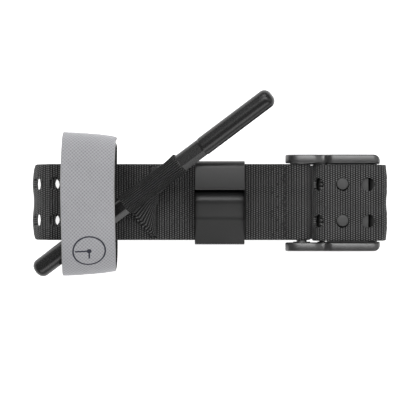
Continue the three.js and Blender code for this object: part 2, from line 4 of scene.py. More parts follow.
import bpy
import numpy as np
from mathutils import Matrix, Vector


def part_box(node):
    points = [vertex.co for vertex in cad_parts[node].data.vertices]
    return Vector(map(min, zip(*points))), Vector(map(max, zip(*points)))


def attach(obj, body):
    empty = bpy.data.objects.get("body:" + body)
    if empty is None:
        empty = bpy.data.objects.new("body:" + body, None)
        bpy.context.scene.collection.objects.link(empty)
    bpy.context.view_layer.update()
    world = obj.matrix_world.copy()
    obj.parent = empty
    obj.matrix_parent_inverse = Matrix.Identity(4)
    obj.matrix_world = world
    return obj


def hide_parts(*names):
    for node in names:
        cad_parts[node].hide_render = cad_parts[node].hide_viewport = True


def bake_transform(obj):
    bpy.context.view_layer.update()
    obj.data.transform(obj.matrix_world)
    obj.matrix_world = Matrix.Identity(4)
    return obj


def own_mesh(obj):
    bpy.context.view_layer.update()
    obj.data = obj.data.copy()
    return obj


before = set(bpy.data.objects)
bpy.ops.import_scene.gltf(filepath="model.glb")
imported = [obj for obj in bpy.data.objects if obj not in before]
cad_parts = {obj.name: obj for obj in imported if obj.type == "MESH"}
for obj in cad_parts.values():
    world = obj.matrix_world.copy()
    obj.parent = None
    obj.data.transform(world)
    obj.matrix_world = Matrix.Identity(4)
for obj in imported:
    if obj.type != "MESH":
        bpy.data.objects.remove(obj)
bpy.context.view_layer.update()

MM = 0.001  # lengths below are in millimetres, and objects in metres


def box_mm(node):
    """A CAD node's lowest and highest corners, in millimetres."""
    low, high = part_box(node)
    return np.array(low) / MM, np.array(high) / MM


# ---- driving dimensions, repeated from the CAD model ------------------------------------
GAP = 0.3
WEB_WIDTH = 38.1
WEB_THICK = 1.5
LAYER = WEB_THICK + GAP
HOLE_PITCH = 12.7
HOLE_ROW = 9.2
HOLE_RADIUS = 3.3
RIB = 1.27  # one rib of the weave, along the webbing
WEAVE_DEPTH = 0.26

base_low, base_high = box_mm("base_webbing")
belt_low, belt_high = box_mm("belt_webbing")
BASE_TOP = base_high[2]
BASE_LEFT = base_low[0]
BAND_MIDDLE = -28.0
BAND_WIDTH = 34.5
BAND_THICK = 1.3
BAND_RIB = 2 * math.pi * 5.0 / 28  # 28 ribs go round the pocket

BELT_START = -45.0
TAIL_LEFT, TAIL_RIGHT = -72.0, 78.0
FRONT_TOP = belt_high[2]
FOOT_RADIUS = 20.0
TOP_RADIUS = 5.0
WRAP_RADIUS = 8.25
WRAP_X = 60.6
RIGHT_SLACK = 0.65
LEFT_RADIUS = 12.5
STRAP_BAR_X = 46.2
STRAP_BAR_RADIUS = 2.6
PRONG_X = 66.5

PIVOT = np.array([-28.0, 8.8, 66.8])
ROD_TURN = math.radians(36.7)
ROD_TILT = math.radians(10.5)
ROD_LENGTH = 148.0
ROD_RADIUS = 4.75
ROD_WAIST = 31.0  # the necks start inside the pocket's two mouths
ROD_NECK_END = 31.5
LEFT_COLUMN_X = -76.75
SLOT_LEFT, SLOT_RIGHT = -29.9, -26.1
DIP_X = 40.0


# ---- camera, floor and light ------------------------------------------------------------
def make_camera():
    camera = bpy.data.objects.new("camera", bpy.data.cameras.new("camera"))
    bpy.context.collection.objects.link(camera)
    distance = 1.3  # above the front of the loop
    framed_width = 0.208
    camera.data.sensor_width = 36.0
    camera.data.lens = camera.data.sensor_width * distance / framed_width
    camera.data.clip_end = 10.0
    camera.location = (-0.00075, -0.003, BASE_TOP * MM + distance)
    camera.rotation_euler = (0.0, 0.0, 0.0)
    bpy.context.scene.camera = camera


def make_floor():
    size = 3.0
    mesh = bpy.data.meshes.new("floor")
    below = 0.0005  # it lies this far under the object
    corners = [(-size, -size), (size, -size), (size, size), (-size, size)]
    mesh.from_pydata([(x, y, -below) for x, y in corners], [], [(0, 1, 2, 3)])
    floor = bpy.data.objects.new("floor", mesh)
    bpy.context.collection.objects.link(floor)
    material = bpy.data.materials.new("floor_white")
    material.use_nodes = True
    shader = material.node_tree.nodes["Principled BSDF"]
    shader.inputs["Base Color"].default_value = (0.93, 0.93, 0.93, 1)
    shader.inputs["Roughness"].default_value = 0.9
    shader.inputs["Specular IOR Level"].default_value = 0.1
    shader.inputs["Emission Color"].default_value = (1, 1, 1, 1)
    shader.inputs["Emission Strength"].default_value = 0.8
    mesh.materials.append(material)


def area_light(name, place, target, size, power):
    light = bpy.data.lights.new(name, "AREA")
    light.shape = "RECTANGLE"
    light.size, light.size_y = size
    light.energy = power
    lamp = bpy.data.objects.new(name, light)
    bpy.context.collection.objects.link(lamp)
    lamp.location = place
    aim = Vector(target) - Vector(place)
    lamp.rotation_euler = aim.to_track_quat("-Z", "Y").to_euler()


def make_world():
    """A studio that is bright near the horizon and dim overhead."""
    world = bpy.data.worlds.new("studio")
    world.use_nodes = True
    tree = world.node_tree
    background = tree.nodes["Background"]
    background.inputs["Color"].default_value = (1, 1, 1, 1)
    direction = tree.nodes.new("ShaderNodeTexCoord")
    split = tree.nodes.new("ShaderNodeSeparateXYZ")
    fade = tree.nodes.new("ShaderNodeMapRange")
    tree.links.new(direction.outputs["Generated"], split.inputs[0])
    tree.links.new(split.outputs["Z"], fade.inputs["Value"])
    limits = {"From Min": 0.02, "From Max": 0.6, "To Min": 0.4, "To Max": 0.12}
    for key, value in limits.items():
        fade.inputs[key].default_value = value
    tree.links.new(fade.outputs[0], background.inputs["Strength"])
    bpy.context.scene.world = world


LIGHTS = (  # name, place, size along and across in metres, power in watts
    ("overhead", (0.0, 0.42, 1.55), (1.5, 0.6), 10.5),
    ("key", (-0.25, 0.85, 0.8), (1.0, 0.5), 4.0),
    ("side", (0.85, 0.1, 0.75), (0.5, 0.9), 1.0),
    ("fill", (0.1, -0.85, 0.75), (1.3, 0.45), 3.6),
)


def make_lights():
    middle = (0, 0, 0.04)
    for name, place, size, power in LIGHTS:
        area_light(name, place, middle, size, power)
    bpy.context.scene.view_settings.view_transform = "Standard"


# ---- node helpers -----------------------------------------------------------------------
class Look:
    """A material and short ways to add nodes to it."""

    def __init__(self, name, roughness=0.8, metallic=0.0, specular=0.5):
        self.material = bpy.data.materials.new(name)
        self.material.use_nodes = True
        self.tree = self.material.node_tree
        self.shader = self.tree.nodes["Principled BSDF"]
        self.shader.inputs["Roughness"].default_value = roughness
        self.shader.inputs["Metallic"].default_value = metallic
        self.shader.inputs["Specular IOR Level"].default_value = specular

    def node(self, kind, **settings):
        node = self.tree.nodes.new(kind)
        for key, value in settings.items():
            setattr(node, key, value)
        return node

    def feed(self, socket, value):
        if isinstance(value, bpy.types.NodeSocket):
            self.tree.links.new(value, socket)
        else:
            socket.default_value = value

    def math(self, operation, a, b=0.0, c=0.0):
        node = self.node("ShaderNodeMath", operation=operation)
        for socket, value in zip(node.inputs, (a, b, c), strict=False):
            self.feed(socket, value)
        return node.outputs[0]

    def plus(self, a, b):
        return self.math("ADD", a, b)

    def times(self, a, b):
        return self.math("MULTIPLY", a, b)

    def weave_uv(self):
        """Distance along and across the strip, in millimetres."""
        uv = self.node("ShaderNodeUVMap", uv_map="Weave")
        split = self.node("ShaderNodeSeparateXYZ")
        self.feed(split.inputs[0], uv.outputs[0])
        return split.outputs[0], split.outputs[1]

    def noise(self, scale, detail):
        """Noise over the object's own place, with scale in features per metre."""
        place = self.node("ShaderNodeTexCoord")
        mapping = self.node("ShaderNodeMapping")
        self.feed(mapping.inputs["Vector"], place.outputs["Object"])
        noise = self.node("ShaderNodeTexNoise")
        self.feed(noise.inputs["Vector"], mapping.outputs[0])
        noise.inputs["Scale"].default_value = scale
        noise.inputs["Detail"].default_value = detail
        return noise.outputs[0]

    def ramp(self, value, *stops):
        """Colours at places from 0 to 1."""
        ramp = self.node("ShaderNodeValToRGB")
        points = ramp.color_ramp.elements
        while len(points) < len(stops):
            points.new(0.5)
        for point, (place, colour) in zip(points, stops, strict=True):
            point.position = place
            point.color = (*colour, 1)
        self.feed(ramp.inputs[0], value)
        return ramp.outputs[0]

    def bump(self, height, distance, strength=1.0, under=None):
        bump = self.node("ShaderNodeBump")
        bump.inputs["Strength"].default_value = strength
        bump.inputs["Distance"].default_value = distance
        self.feed(bump.inputs["Height"], height)
        if under is not None:
            self.feed(bump.inputs["Normal"], under)
        return bump.outputs[0]

    def mix(self, share, a, b):
        mix = self.node("ShaderNodeMix", data_type="RGBA", blend_type="MIX")
        self.feed(mix.inputs["Factor"], share)
        self.feed(mix.inputs[6], a)
        self.feed(mix.inputs[7], b)
        return mix.outputs[2]

    def colour(self, value):
        self.feed(self.shader.inputs["Base Color"], value)

    def roughness(self, value):
        self.feed(self.shader.inputs["Roughness"], value)

    def normal(self, value):
        self.feed(self.shader.inputs["Normal"], value)


def grey(level, tint=0.0):
    """A near grey: tint above 0 is bluer."""
    return (level * (1 - tint), level * (1 - tint), level * (1 + tint))


# ---- materials --------------------------------------------------------------------------
def webbing_look(name, rib, dark, light, dot=1.05, crisp=0.8):
    """Woven webbing: ribs across the strip, each a row of short floats that sit between the floats
    of the next row. Its colour follows the weave's height: painted shade in the grooves and a
    painted highlight on the floats' tops."""
    look = Look(name, roughness=0.55, specular=0.16)
    along, across = look.weave_uv()
    row = look.math("DIVIDE", along, rib)
    in_row = look.math("FRACT", row)
    arch = look.math("SINE", look.times(in_row, math.pi))
    parity = look.times(look.math("FLOOR", look.math("MODULO", row, 2.0)), 0.5)
    float_place = look.plus(look.math("DIVIDE", across, dot), parity)
    in_float = look.math("FRACT", float_place)
    bead = look.math("SINE", look.times(in_float, math.pi))
    bead = look.math("POWER", look.math("ABSOLUTE", bead), 0.7)
    height = look.times(look.math("POWER", arch, crisp), bead)
    pair = look.math("FRACT", look.math("DIVIDE", row, 2.0))
    groove = look.math("ABSOLUTE", look.math("SUBTRACT", pair, 0.5))
    groove = look.math("SMOOTH_MIN", look.times(groove, -9.0), -3.2, 0.6)
    groove = look.plus(look.times(groove, 0.45), 2.45)
    deep = look.times(height, look.math("MINIMUM", look.math("MAXIMUM", groove, 0.55), 1.0))
    fuzz = look.noise(2600.0, 2.0)
    # The tone rises with the weave's height: the darker grooves are painted shade and the lighter
    # floats are painted highlight.
    tone = look.plus(look.times(deep, 0.8), look.times(fuzz, 0.28))
    cloud = look.noise(60.0, 3.0)
    tone = look.times(tone, look.plus(0.8, look.times(cloud, 0.4)))
    middle = dark + 0.3 * (light - dark)
    # dark is the grooves' painted shade and light is the floats' painted highlight.
    look.colour(look.ramp(tone, (0.2, grey(dark)), (0.55, grey(middle)), (0.95, grey(light))))
    look.normal(look.bump(deep, 0.00022, 0.9, look.bump(fuzz, 0.00006, 0.5)))
    look.shader.inputs["Sheen Weight"].default_value = 0.12
    look.shader.inputs["Sheen Roughness"].default_value = 0.5
    return look.material


def tape_look():
    """Light grey plain-weave tape with a printed clock face near its flap's root. Its colour is
    darker where the weave lies low (painted shade) and lighter on the raised threads (painted
    highlight).
    """
    look = Look("grey_tape", roughness=0.75, specular=0.3)
    along, across = look.weave_uv()
    thread = 0.9
    u = look.math("DIVIDE", along, thread)
    v = look.math("DIVIDE", across, thread)
    wave_u = look.math("SINE", look.times(u, math.pi))
    wave_v = look.math("SINE", look.times(v, math.pi))
    check = look.times(wave_u, wave_v)
    height = look.plus(look.times(check, 0.5), 0.5)
    fuzz = look.noise(1800.0, 2.0)
    cloud = look.noise(40.0, 2.0)
    # The tone follows the weave's height: painted shade in the low cells and painted highlight on
    # the raised threads.
    tone = look.plus(look.times(height, 0.55), look.times(fuzz, 0.35))
    tone = look.plus(tone, look.times(cloud, 0.15))
    cloth = look.ramp(tone, (0.2, grey(0.27, 0.02)), (0.5, grey(0.41, 0.025)),
                      (0.85, grey(0.53, 0.02)))
    ink = clock_print(look, along, across)
    look.colour(look.mix(ink, cloth, (0.035, 0.035, 0.05, 1)))
    look.normal(look.bump(height, 0.00012, 0.55, look.bump(fuzz, 0.00005, 0.4)))
    look.shader.inputs["Sheen Weight"].default_value = 0.1
    return look.material


CLOCK = {"along": 18.9, "across": 0.3, "radius": 7.9, "line": 0.8, "dot": 1.2, "squash": 1.1}


def clock_print(look, along, across):
    """A plain clock face, drawn by distances from its centre: 1 on ink and 0 off it."""
    a = look.math("SUBTRACT", along, CLOCK["along"])
    a = look.times(a, CLOCK["squash"])
    b = look.math("SUBTRACT", across, CLOCK["across"])
    square = look.plus(look.times(a, a), look.times(b, b))
    away = look.math("SQRT", square)
    ring = look.math("ABSOLUTE", look.math("SUBTRACT", away, CLOCK["radius"]))
    half = CLOCK["line"] / 2
    ink = look.math("LESS_THAN", ring, half)
    ink = look.math("MAXIMUM", ink, look.math("LESS_THAN", away, CLOCK["dot"]))
    long_hand = hand(look, a, b, half, 7.0)
    short_hand = hand(look, b, a, half, 4.3)
    return look.math("MAXIMUM", ink, look.math("MAXIMUM", long_hand, short_hand))


def hand(look, side, ahead, half, length):
    """1 within half of a line that runs from 0 to -length along ahead."""
    near = look.math("LESS_THAN", look.math("ABSOLUTE", side), half)
    before = look.math("LESS_THAN", ahead, 0.0)
    after = look.math("GREATER_THAN", ahead, -length)
    return look.times(near, look.times(before, after))


def plastic_look(name, level, roughness):
    """Moulded plastic with a fine spark-eroded grain and faint clouding."""
    look = Look(name, roughness=roughness, specular=0.5)
    grain = look.noise(4200.0, 2.0)
    cloud = look.noise(45.0, 3.0)
    tone = look.plus(look.times(grain, 0.5), look.times(cloud, 0.5))
    look.colour(look.ramp(tone, (0.3, grey(level * 0.86)), (0.7, grey(level * 1.14))))
    rough = look.plus(roughness - 0.06, look.times(cloud, 0.12))
    look.roughness(rough)
    look.normal(look.bump(grain, 0.00003, 0.35))
    return look.material


def metal_look(name, level, roughness, metallic, grain_scale=2600.0):
    """Anodised or blasted metal: fine grain, lighter worn spots."""
    look = Look(name, roughness=roughness, metallic=metallic, specular=0.5)
    grain = look.noise(grain_scale, 3.0)
    cloud = look.noise(70.0, 4.0)
    tone = look.plus(look.times(grain, 0.45), look.times(cloud, 0.55))
    look.colour(look.ramp(tone, (0.3, grey(level * 0.88)), (0.72, grey(level * 1.14))))
    rough = look.plus(roughness - 0.05, look.times(grain, 0.1))
    look.roughness(rough)
    look.normal(look.bump(grain, 0.00001, 0.15))
    return look.material


def pile_look():
    """Black hook and loop: small upright curls."""
    look = Look("hook_loop", roughness=0.95, specular=0.2)
    cells = look.node("ShaderNodeTexVoronoi")
    place = look.node("ShaderNodeTexCoord")
    look.feed(cells.inputs["Vector"], place.outputs["Object"])
    cells.inputs["Scale"].default_value = 1500.0
    look.colour(look.ramp(cells.outputs["Distance"], (0.0, grey(0.03)), (0.7, grey(0.008))))
    look.normal(look.bump(cells.outputs["Distance"], 0.0003, 0.8))
    return look.material


def make_materials():
    return {
        # The webbing and band colours carry painted shade in the weave's grooves and a painted
        # highlight on its raised floats.
        "webbing": webbing_look("black_webbing", RIB, 0.002, 0.17),
        "band": webbing_look("black_band", BAND_RIB, 0.001, 0.17, 0.9, 2.0),
        "tape": tape_look(),
        "lining": plastic_look("black_lining", 0.02, 0.8),
        "selvage": plastic_look("light_selvage", 0.42, 0.8),
        "pile": pile_look(),
        "clip": plastic_look("clip_plastic", 0.026, 0.34),
        "plate": plastic_look("plate_plastic", 0.07, 0.5),
        "rod": metal_look("rod_anodised", 0.045, 0.27, 0.65, grain_scale=3000.0),
        "buckle": metal_look("buckle_anodised", 0.14, 0.33, 0.9),
        # Parts inside the buckle get a near-black copy of the metal: painted shade for the dark
        # inside the buckle.
        "inner": metal_look("inner_painted_shade", 0.02, 0.5, 0.3),
        "prong": metal_look("prong_coated", 0.075, 0.5, 0.3),
        "steel": metal_look("black_steel", 0.08, 0.35, 0.8),
        "thread": plastic_look("thread_black", 0.03, 0.7),
    }


# ---- centre lines -----------------------------------------------------------------------
class Route:
    """A flat centre line made of straight and round stretches, read by distance along it."""

    def __init__(self, start, heading):
        self.point = np.array(start, float)
        self.heading = math.radians(heading)
        self.length = 0.0
        self.stretches = []

    def add(self, length, bend):
        self.stretches.append((self.length, length, self.point.copy(), self.heading, bend))
        self.point, self.heading = self.step(self.point, self.heading, bend, length)
        self.length += length
        return self

    @staticmethod
    def step(point, heading, bend, distance):
        """Where a walk of distance ends that turns by bend radians per millimetre."""
        if abs(bend) < 1e-9:
            ahead = np.array([math.cos(heading), math.sin(heading)])
            return point + ahead * distance, heading
        after = heading + bend * distance
        shift = np.array([math.sin(after) - math.sin(heading), math.cos(heading) - math.cos(after)])
        return point + shift / bend, after

    def line(self, length):
        return self.add(length, 0.0)

    def turn(self, radius, degrees):
        """Positive degrees turn left."""
        angle = math.radians(degrees)
        return self.add(radius * abs(angle), math.copysign(1.0 / radius, angle))

    def at(self, distance):
        """The point and the left-hand normal at a distance."""
        for start, length, point, heading, bend in self.stretches:
            if distance <= start + length or (start, length) == self.last():
                place, angle = self.step(point, heading, bend, distance - start)
                return place, np.array([-math.sin(angle), math.cos(angle)])
        raise ValueError("no stretches")

    def last(self):
        return self.stretches[-1][0], self.stretches[-1][1]

    def sample(self, distances):
        found = [self.at(d) for d in distances]
        return np.array([p for p, _ in found]), np.array([n for _, n in found])


# ---- strips -----------------------------------------------------------------------------
RIM_ROUND = 0.18  # a hole's rim starts to round off this far outside its wall
RIM_SINK = 0.78  # the wall's share of the strip's thickness


class Strip:
    """A flat strip in (u, v, w): u along, v across and w through it. It can have round holes,
    and it is bent into place afterwards. The upper side is w > 0."""

    def __init__(self, u_lines, v_lines, thick):
        self.u_lines = np.array(u_lines)
        self.v_lines = np.array(v_lines)
        self.thick = thick
        self.vertices = []
        self.faces = []
        self.grid = {}
        self.skipped = set()

    def vertex(self, u, v, side):
        self.vertices.append((u, v, side * self.thick / 2))
        return len(self.vertices) - 1

    def grid_vertex(self, i, j, side):
        """The edge lines have one shared vertex, at the middle of the thickness."""
        if j in (0, len(self.v_lines) - 1):
            side = 0
        key = (i, j, side)
        if key not in self.grid:
            self.grid[key] = self.vertex(self.u_lines[i], self.v_lines[j], side)
        return self.grid[key]

    def add_face(self, corners, side):
        self.faces.append(corners if side > 0 else corners[::-1])

    def open_block(self, i0, i1, j0, j1):
        """Leaves out a block of cells, and gives the crossings round it in order."""
        self.skipped.update((i, j) for i in range(i0, i1) for j in range(j0, j1))
        border = [(i, j0) for i in range(i0, i1)]
        border += [(i1, j) for j in range(j0, j1)]
        border += [(i, j1) for i in range(i1, i0, -1)]
        return border + [(i0, j) for j in range(j1, j0, -1)]

    def hole(self, i0, i1, j0, j1, radius):
        """A round hole with a rounded rim in the block of cells between these lines."""
        u_mid = (self.u_lines[i0] + self.u_lines[i1]) / 2
        v_mid = (self.v_lines[j0] + self.v_lines[j1]) / 2
        border = self.open_block(i0, i1, j0, j1)
        rim = {}
        for side in (1, -1):
            outer = [self.grid_vertex(i, j, side) for i, j in border]
            for share in (0.4, 0.75, 1.0):
                ring = []
                for i, j in border:
                    du = self.u_lines[i] - u_mid
                    dv = self.v_lines[j] - v_mid
                    away = math.hypot(du, dv)
                    scale = (1 - share) + share * (radius + RIM_ROUND) / away
                    ring.append(self.vertex(u_mid + du * scale, v_mid + dv * scale, side))
                self.stitch(outer, ring, side)
                outer = ring
            inner = []
            for i, j in border:
                du = self.u_lines[i] - u_mid
                dv = self.v_lines[j] - v_mid
                scale = radius / math.hypot(du, dv)
                inner.append(self.vertex(u_mid + du * scale, v_mid + dv * scale, side * RIM_SINK))
            self.stitch(outer, inner, side)
            rim[side] = inner
        self.stitch(rim[1], rim[-1], 1)

    def slot(self, i0, i1, j0, j1):
        """An oblong opening in the block of cells between these lines."""
        border = self.open_block(i0, i1, j0, j1)
        upper = [self.grid_vertex(i, j, 1) for i, j in border]
        lower = [self.grid_vertex(i, j, -1) for i, j in border]
        self.stitch(upper, lower, 1)

    def stitch(self, outer, inner, side):
        count = len(outer)
        for k in range(count):
            n = (k + 1) % count
            self.add_face([outer[k], outer[n], inner[n], inner[k]], side)

    def fill(self):
        rows, columns = len(self.u_lines) - 1, len(self.v_lines) - 1
        for i in range(rows):
            for j in range(columns):
                if (i, j) in self.skipped:
                    continue
                for side in (1, -1):
                    corners = [
                        self.grid_vertex(i, j, side),
                        self.grid_vertex(i + 1, j, side),
                        self.grid_vertex(i + 1, j + 1, side),
                        self.grid_vertex(i, j + 1, side),
                    ]
                    self.add_face(corners, side)
        for i, flip in ((0, 1), (rows, -1)):
            for j in range(columns):
                upper = [self.grid_vertex(i, j, 1), self.grid_vertex(i, j + 1, 1)]
                lower = [self.grid_vertex(i, j, -1), self.grid_vertex(i, j + 1, -1)]
                ring = [upper[0], upper[1], lower[1], lower[0]]
                ring = [v for k, v in enumerate(ring) if v not in ring[:k]]
                self.add_face(ring, flip)

    def build(self, name, place, relief=None):
        """place turns arrays of u, v and w into points. relief(u, v) adds to w on both sides."""
        flat = np.array(self.vertices)
        u, v, w = flat.T
        if relief is not None:
            w = w + np.sign(w) * relief(u, v)
        points = place(u, v, w) * MM
        mesh = bpy.data.meshes.new(name)
        mesh.from_pydata(points.tolist(), [], self.faces)
        mesh.validate()
        weave = mesh.uv_layers.new(name="Weave")
        corner = np.empty(len(mesh.loops), dtype=np.int32)
        mesh.loops.foreach_get("vertex_index", corner)
        weave.data.foreach_set("uv", flat[corner][:, :2].astype(np.float32).ravel())
        mesh.shade_smooth()
        piece = bpy.data.objects.new(name, mesh)
        bpy.context.collection.objects.link(piece)
        return piece


HOLE_BLOCK = 6 * RIB  # the square of cells that a hole takes


def across_lines(width):
    """Lines across a strip: finer in the two hole rows, with a rounded edge."""
    half = width / 2
    row_low = HOLE_ROW - HOLE_BLOCK / 2
    row_high = HOLE_ROW + HOLE_BLOCK / 2
    right = list(np.linspace(0, row_low, 5))[1:]
    right += list(np.linspace(row_low, row_high, 7))[1:]
    right += list(np.linspace(row_high, half - 1.3, 4))[1:] + [half - 0.3]
    right += [half]
    return [-v for v in reversed(right)] + [0.0] + right


ROW_BLOCKS = ((1 + 4, 1 + 4 + 6), (1 + 4 + 6 + 8, 1 + 4 + 6 + 8 + 6))


def ribs(depth, rib=RIB):
    """Relief of the weave's ribs: every second groove is deeper."""

    def relief(u, _):
        row = u / rib
        small = np.cos(2 * math.pi * row)
        large = np.cos(math.pi * row)
        return -depth * (0.5 * (1 + small) * (0.55 + 0.45 * large**2) - 0.3)

    return relief


def webbing_strip(length, first_hole=None, step=RIB / 2, width=WEB_WIDTH, thick=WEB_THICK,
                  skip=lambda u: False, slot=None):
    """A webbing strip from u = 0, with hole columns every HOLE_PITCH from first_hole, and a
    long slot across it if slot gives its two sides."""
    offset = 0.0 if first_hole is None else (first_hole - HOLE_BLOCK / 2) % step
    count = int((length - offset) / step)
    lines = [0.0] + [offset + k * step for k in range(1, count)] + [length]
    strip = Strip(lines, across_lines(width), thick)
    if first_hole is not None:
        block = round(HOLE_BLOCK / step)
        centre = first_hole
        while centre + HOLE_BLOCK < length:
            i0 = int(np.argmin(np.abs(strip.u_lines - (centre - HOLE_BLOCK / 2))))
            if centre > HOLE_BLOCK / 2 + step and not skip(centre):
                for j0, j1 in ROW_BLOCKS:
                    strip.hole(i0, i0 + block, j0, j1, HOLE_RADIUS)
            centre += HOLE_PITCH
    if slot is not None:
        i0, i1 = (int(np.argmin(np.abs(strip.u_lines - u))) for u in slot)
        strip.slot(i0, i1, 2, len(strip.v_lines) - 3)
    strip.fill()
    return strip


def along_route(route, wave=None, drift=None):
    """Bends a strip along a route in XZ, with v along Y. The upper side is the right-hand one,
    and drift(u) moves it sideways."""

    def place(u, v, w):
        points, normals = route.sample(u)
        if wave is not None:
            w = w + wave(u, v)
        x = points[:, 0] - normals[:, 0] * w
        z = points[:, 1] - normals[:, 1] * w
        y = -v if drift is None else drift(u) - v
        return np.column_stack([x, y, z])

    return place


def dress(piece, material, body, slot, *nodes):
    """Gives a piece its material and body, and hides the CAD nodes that it stands for. Its slot is
    not used.
    """
    piece.data.materials.append(material)
    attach(piece, body)
    if nodes:
        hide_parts(*nodes)


def new_piece(name, points, faces, sharp=35.0):
    """A mesh object from points in millimetres; edges steeper than sharp stay crisp."""
    mesh = bpy.data.meshes.new(name)
    mesh.from_pydata((np.array(points) * MM).tolist(), [], faces)
    mesh.validate()
    mesh.shade_smooth()
    mesh.set_sharp_from_angle(angle=math.radians(sharp))
    piece = bpy.data.objects.new(name, mesh)
    bpy.context.collection.objects.link(piece)
    return piece


def tube_faces(rows, around, first=0):
    """The side and end faces of a closed tube made of rings of points."""
    faces = []
    for row in range(rows - 1):
        for k in range(around):
            a = first + row * around + k
            b = first + row * around + (k + 1) % around
            faces.append((a, b, b + around, a + around))
    last = first + (rows - 1) * around
    faces.append(tuple(first + k for k in reversed(range(around))))
    faces.append(tuple(last + k for k in range(around)))
    return faces


# ---- belt -------------------------------------------------------------------------------
def belt_route():
    """The belt's centre line; the same turns as in the CAD model."""
    pass_a, pass_b = (WEB_THICK / 2 + n * LAYER for n in (3, 2))
    top = BASE_TOP - WEB_THICK / 2 - LAYER
    left_x = belt_low[0] + WEB_THICK / 2 + LEFT_RADIUS
    outer_x = belt_high[0] - WEB_THICK / 2
    foot_x = outer_x - FOOT_RADIUS
    foot_z = pass_b + FOOT_RADIUS
    inner_x = outer_x - LAYER - RIGHT_SLACK
    inner_radius = FOOT_RADIUS - LAYER
    front_z = FRONT_TOP - WEB_THICK / 2
    low_z = front_z - 2 * WRAP_RADIUS
    route = Route((BELT_START, top), 180)
    route.line(BELT_START - left_x)
    route.turn(LEFT_RADIUS, 90)
    route.line((top - pass_a) / 2 - LEFT_RADIUS)
    route.left_bend = route.length
    route.line((top - pass_a) / 2 - LEFT_RADIUS)
    route.turn(LEFT_RADIUS, 90)
    route.line(inner_x - inner_radius - left_x)
    route.turn(inner_radius, 90)
    route.line(low_z - TOP_RADIUS - foot_z)
    route.turn(TOP_RADIUS, 90)
    route.line(inner_x - TOP_RADIUS - WRAP_X)
    route.turn(WRAP_RADIUS, -180)
    route.prongs = route.length + PRONG_X - WRAP_X
    route.line(outer_x - TOP_RADIUS - WRAP_X)
    route.right_bend = route.length + TOP_RADIUS
    route.turn(TOP_RADIUS, -90)
    route.line(front_z - TOP_RADIUS - foot_z)
    route.turn(FOOT_RADIUS, -90)
    route.line(foot_x - TAIL_LEFT)
    route.turn(LAYER / 2, 180)
    route.line(TAIL_RIGHT - TAIL_LEFT)
    route.turn(LAYER / 2, -180)
    route.line(TAIL_RIGHT - TAIL_LEFT)
    return route


def ease(share):
    """A share that starts and ends softly, held between 0 and 1."""
    share = np.clip(share, 0, 1)
    return share * share * (3 - 2 * share)


def hump(distance, middle, reach):
    """1 at the middle, falling smoothly to 0 at reach from it."""
    return ease(1 - np.abs(distance - middle) / reach)


def smooth(value, low, high):
    """0 up to low and 1 from high on, with a soft change between them."""
    return ease((value - low) / (high - low))


def end_waves(route):
    """At its two ends the belt swells at the hole rows and its edges curl in a little. Its
    outer side is the right-hand one at the left end and the left-hand one at the right end."""

    def wave(u, v):
        swell = -np.cos(math.pi * v / HOLE_ROW)
        curl = np.clip((np.abs(v) - 15.6) / 3.45, 0, 1) ** 2
        left = hump(u, route.left_bend, 30.0) * (0.42 * swell - 1.15 * curl)
        right = hump(u, route.right_bend + 6, 14.0) * (0.4 * swell - 0.3 * curl)
        return left - right

    return wave


# Distance along the belt, and how far its holes lie off their even pitch there.
HOLE_CREEP = ((0, 0), (26, -3.2), (31.75, -3.2), (44.45, -1.5), (57, 0), (69.85, 1.5),
              (82.55, -1.2), (95, -1.2), (150, 0))


def make_belt(materials):
    route = belt_route()
    strip = webbing_strip(route.length, route.prongs % HOLE_PITCH)
    aside, reach = 0.4, 90.0

    def drift(u):
        """Over the buckle the belt lies a little towards its lower side."""
        return -aside * hump(u, route.prongs, reach)

    place = along_route(route, end_waves(route), drift)

    def creep(u):
        """At the left end the belt's holes lie a little off those of the base above them."""
        places, shifts = zip(*HOLE_CREEP, strict=True)
        return u + np.interp(u, places, shifts)

    piece = strip.build("belt", lambda u, v, w: place(creep(u), v, w), ribs(WEAVE_DEPTH))
    dress(piece, materials["webbing"], "base", "webbing", "belt_webbing")


# ---- base and sleeve --------------------------------------------------------------------
def base_route():
    z = BASE_TOP - WEB_THICK / 2
    loop = WEB_THICK / 2 + GAP + STRAP_BAR_RADIUS
    route = Route((BASE_LEFT, z), 0)
    route.line(STRAP_BAR_X - BASE_LEFT)
    route.turn(loop, -180)
    route.turn(6.0, -42)
    route.turn(5.0, 42)
    route.line(8.5)
    return route


def base_dip(u, _):
    """The webbing dips between its box stitch and the bar, and swells over the bar. Its
    returning layer dips with it."""
    going = DIP_X - BASE_LEFT
    loop = WEB_THICK / 2 + GAP + STRAP_BAR_RADIUS
    returning = STRAP_BAR_X - BASE_LEFT + math.pi * loop + STRAP_BAR_X - DIP_X
    depth, reach = 2.3, 3.7
    swell, swell_reach, past_bar = 0.4, 3.6, 0.3
    roll = swell * hump(u, STRAP_BAR_X + past_bar - BASE_LEFT, swell_reach)
    return depth * (hump(u, going, reach) - hump(u, returning, reach)) - roll


def make_base(materials):
    route = base_route()
    strip = webbing_strip(
        route.length, LEFT_COLUMN_X - BASE_LEFT, step=RIB / 4, skip=lambda u: u > HOLE_PITCH,
        slot=(SLOT_LEFT - BASE_LEFT, SLOT_RIGHT - BASE_LEFT),
    )
    piece = strip.build("base_web", along_route(route, base_dip), ribs(WEAVE_DEPTH))
    dress(piece, materials["webbing"], "base", "webbing", "base_webbing")


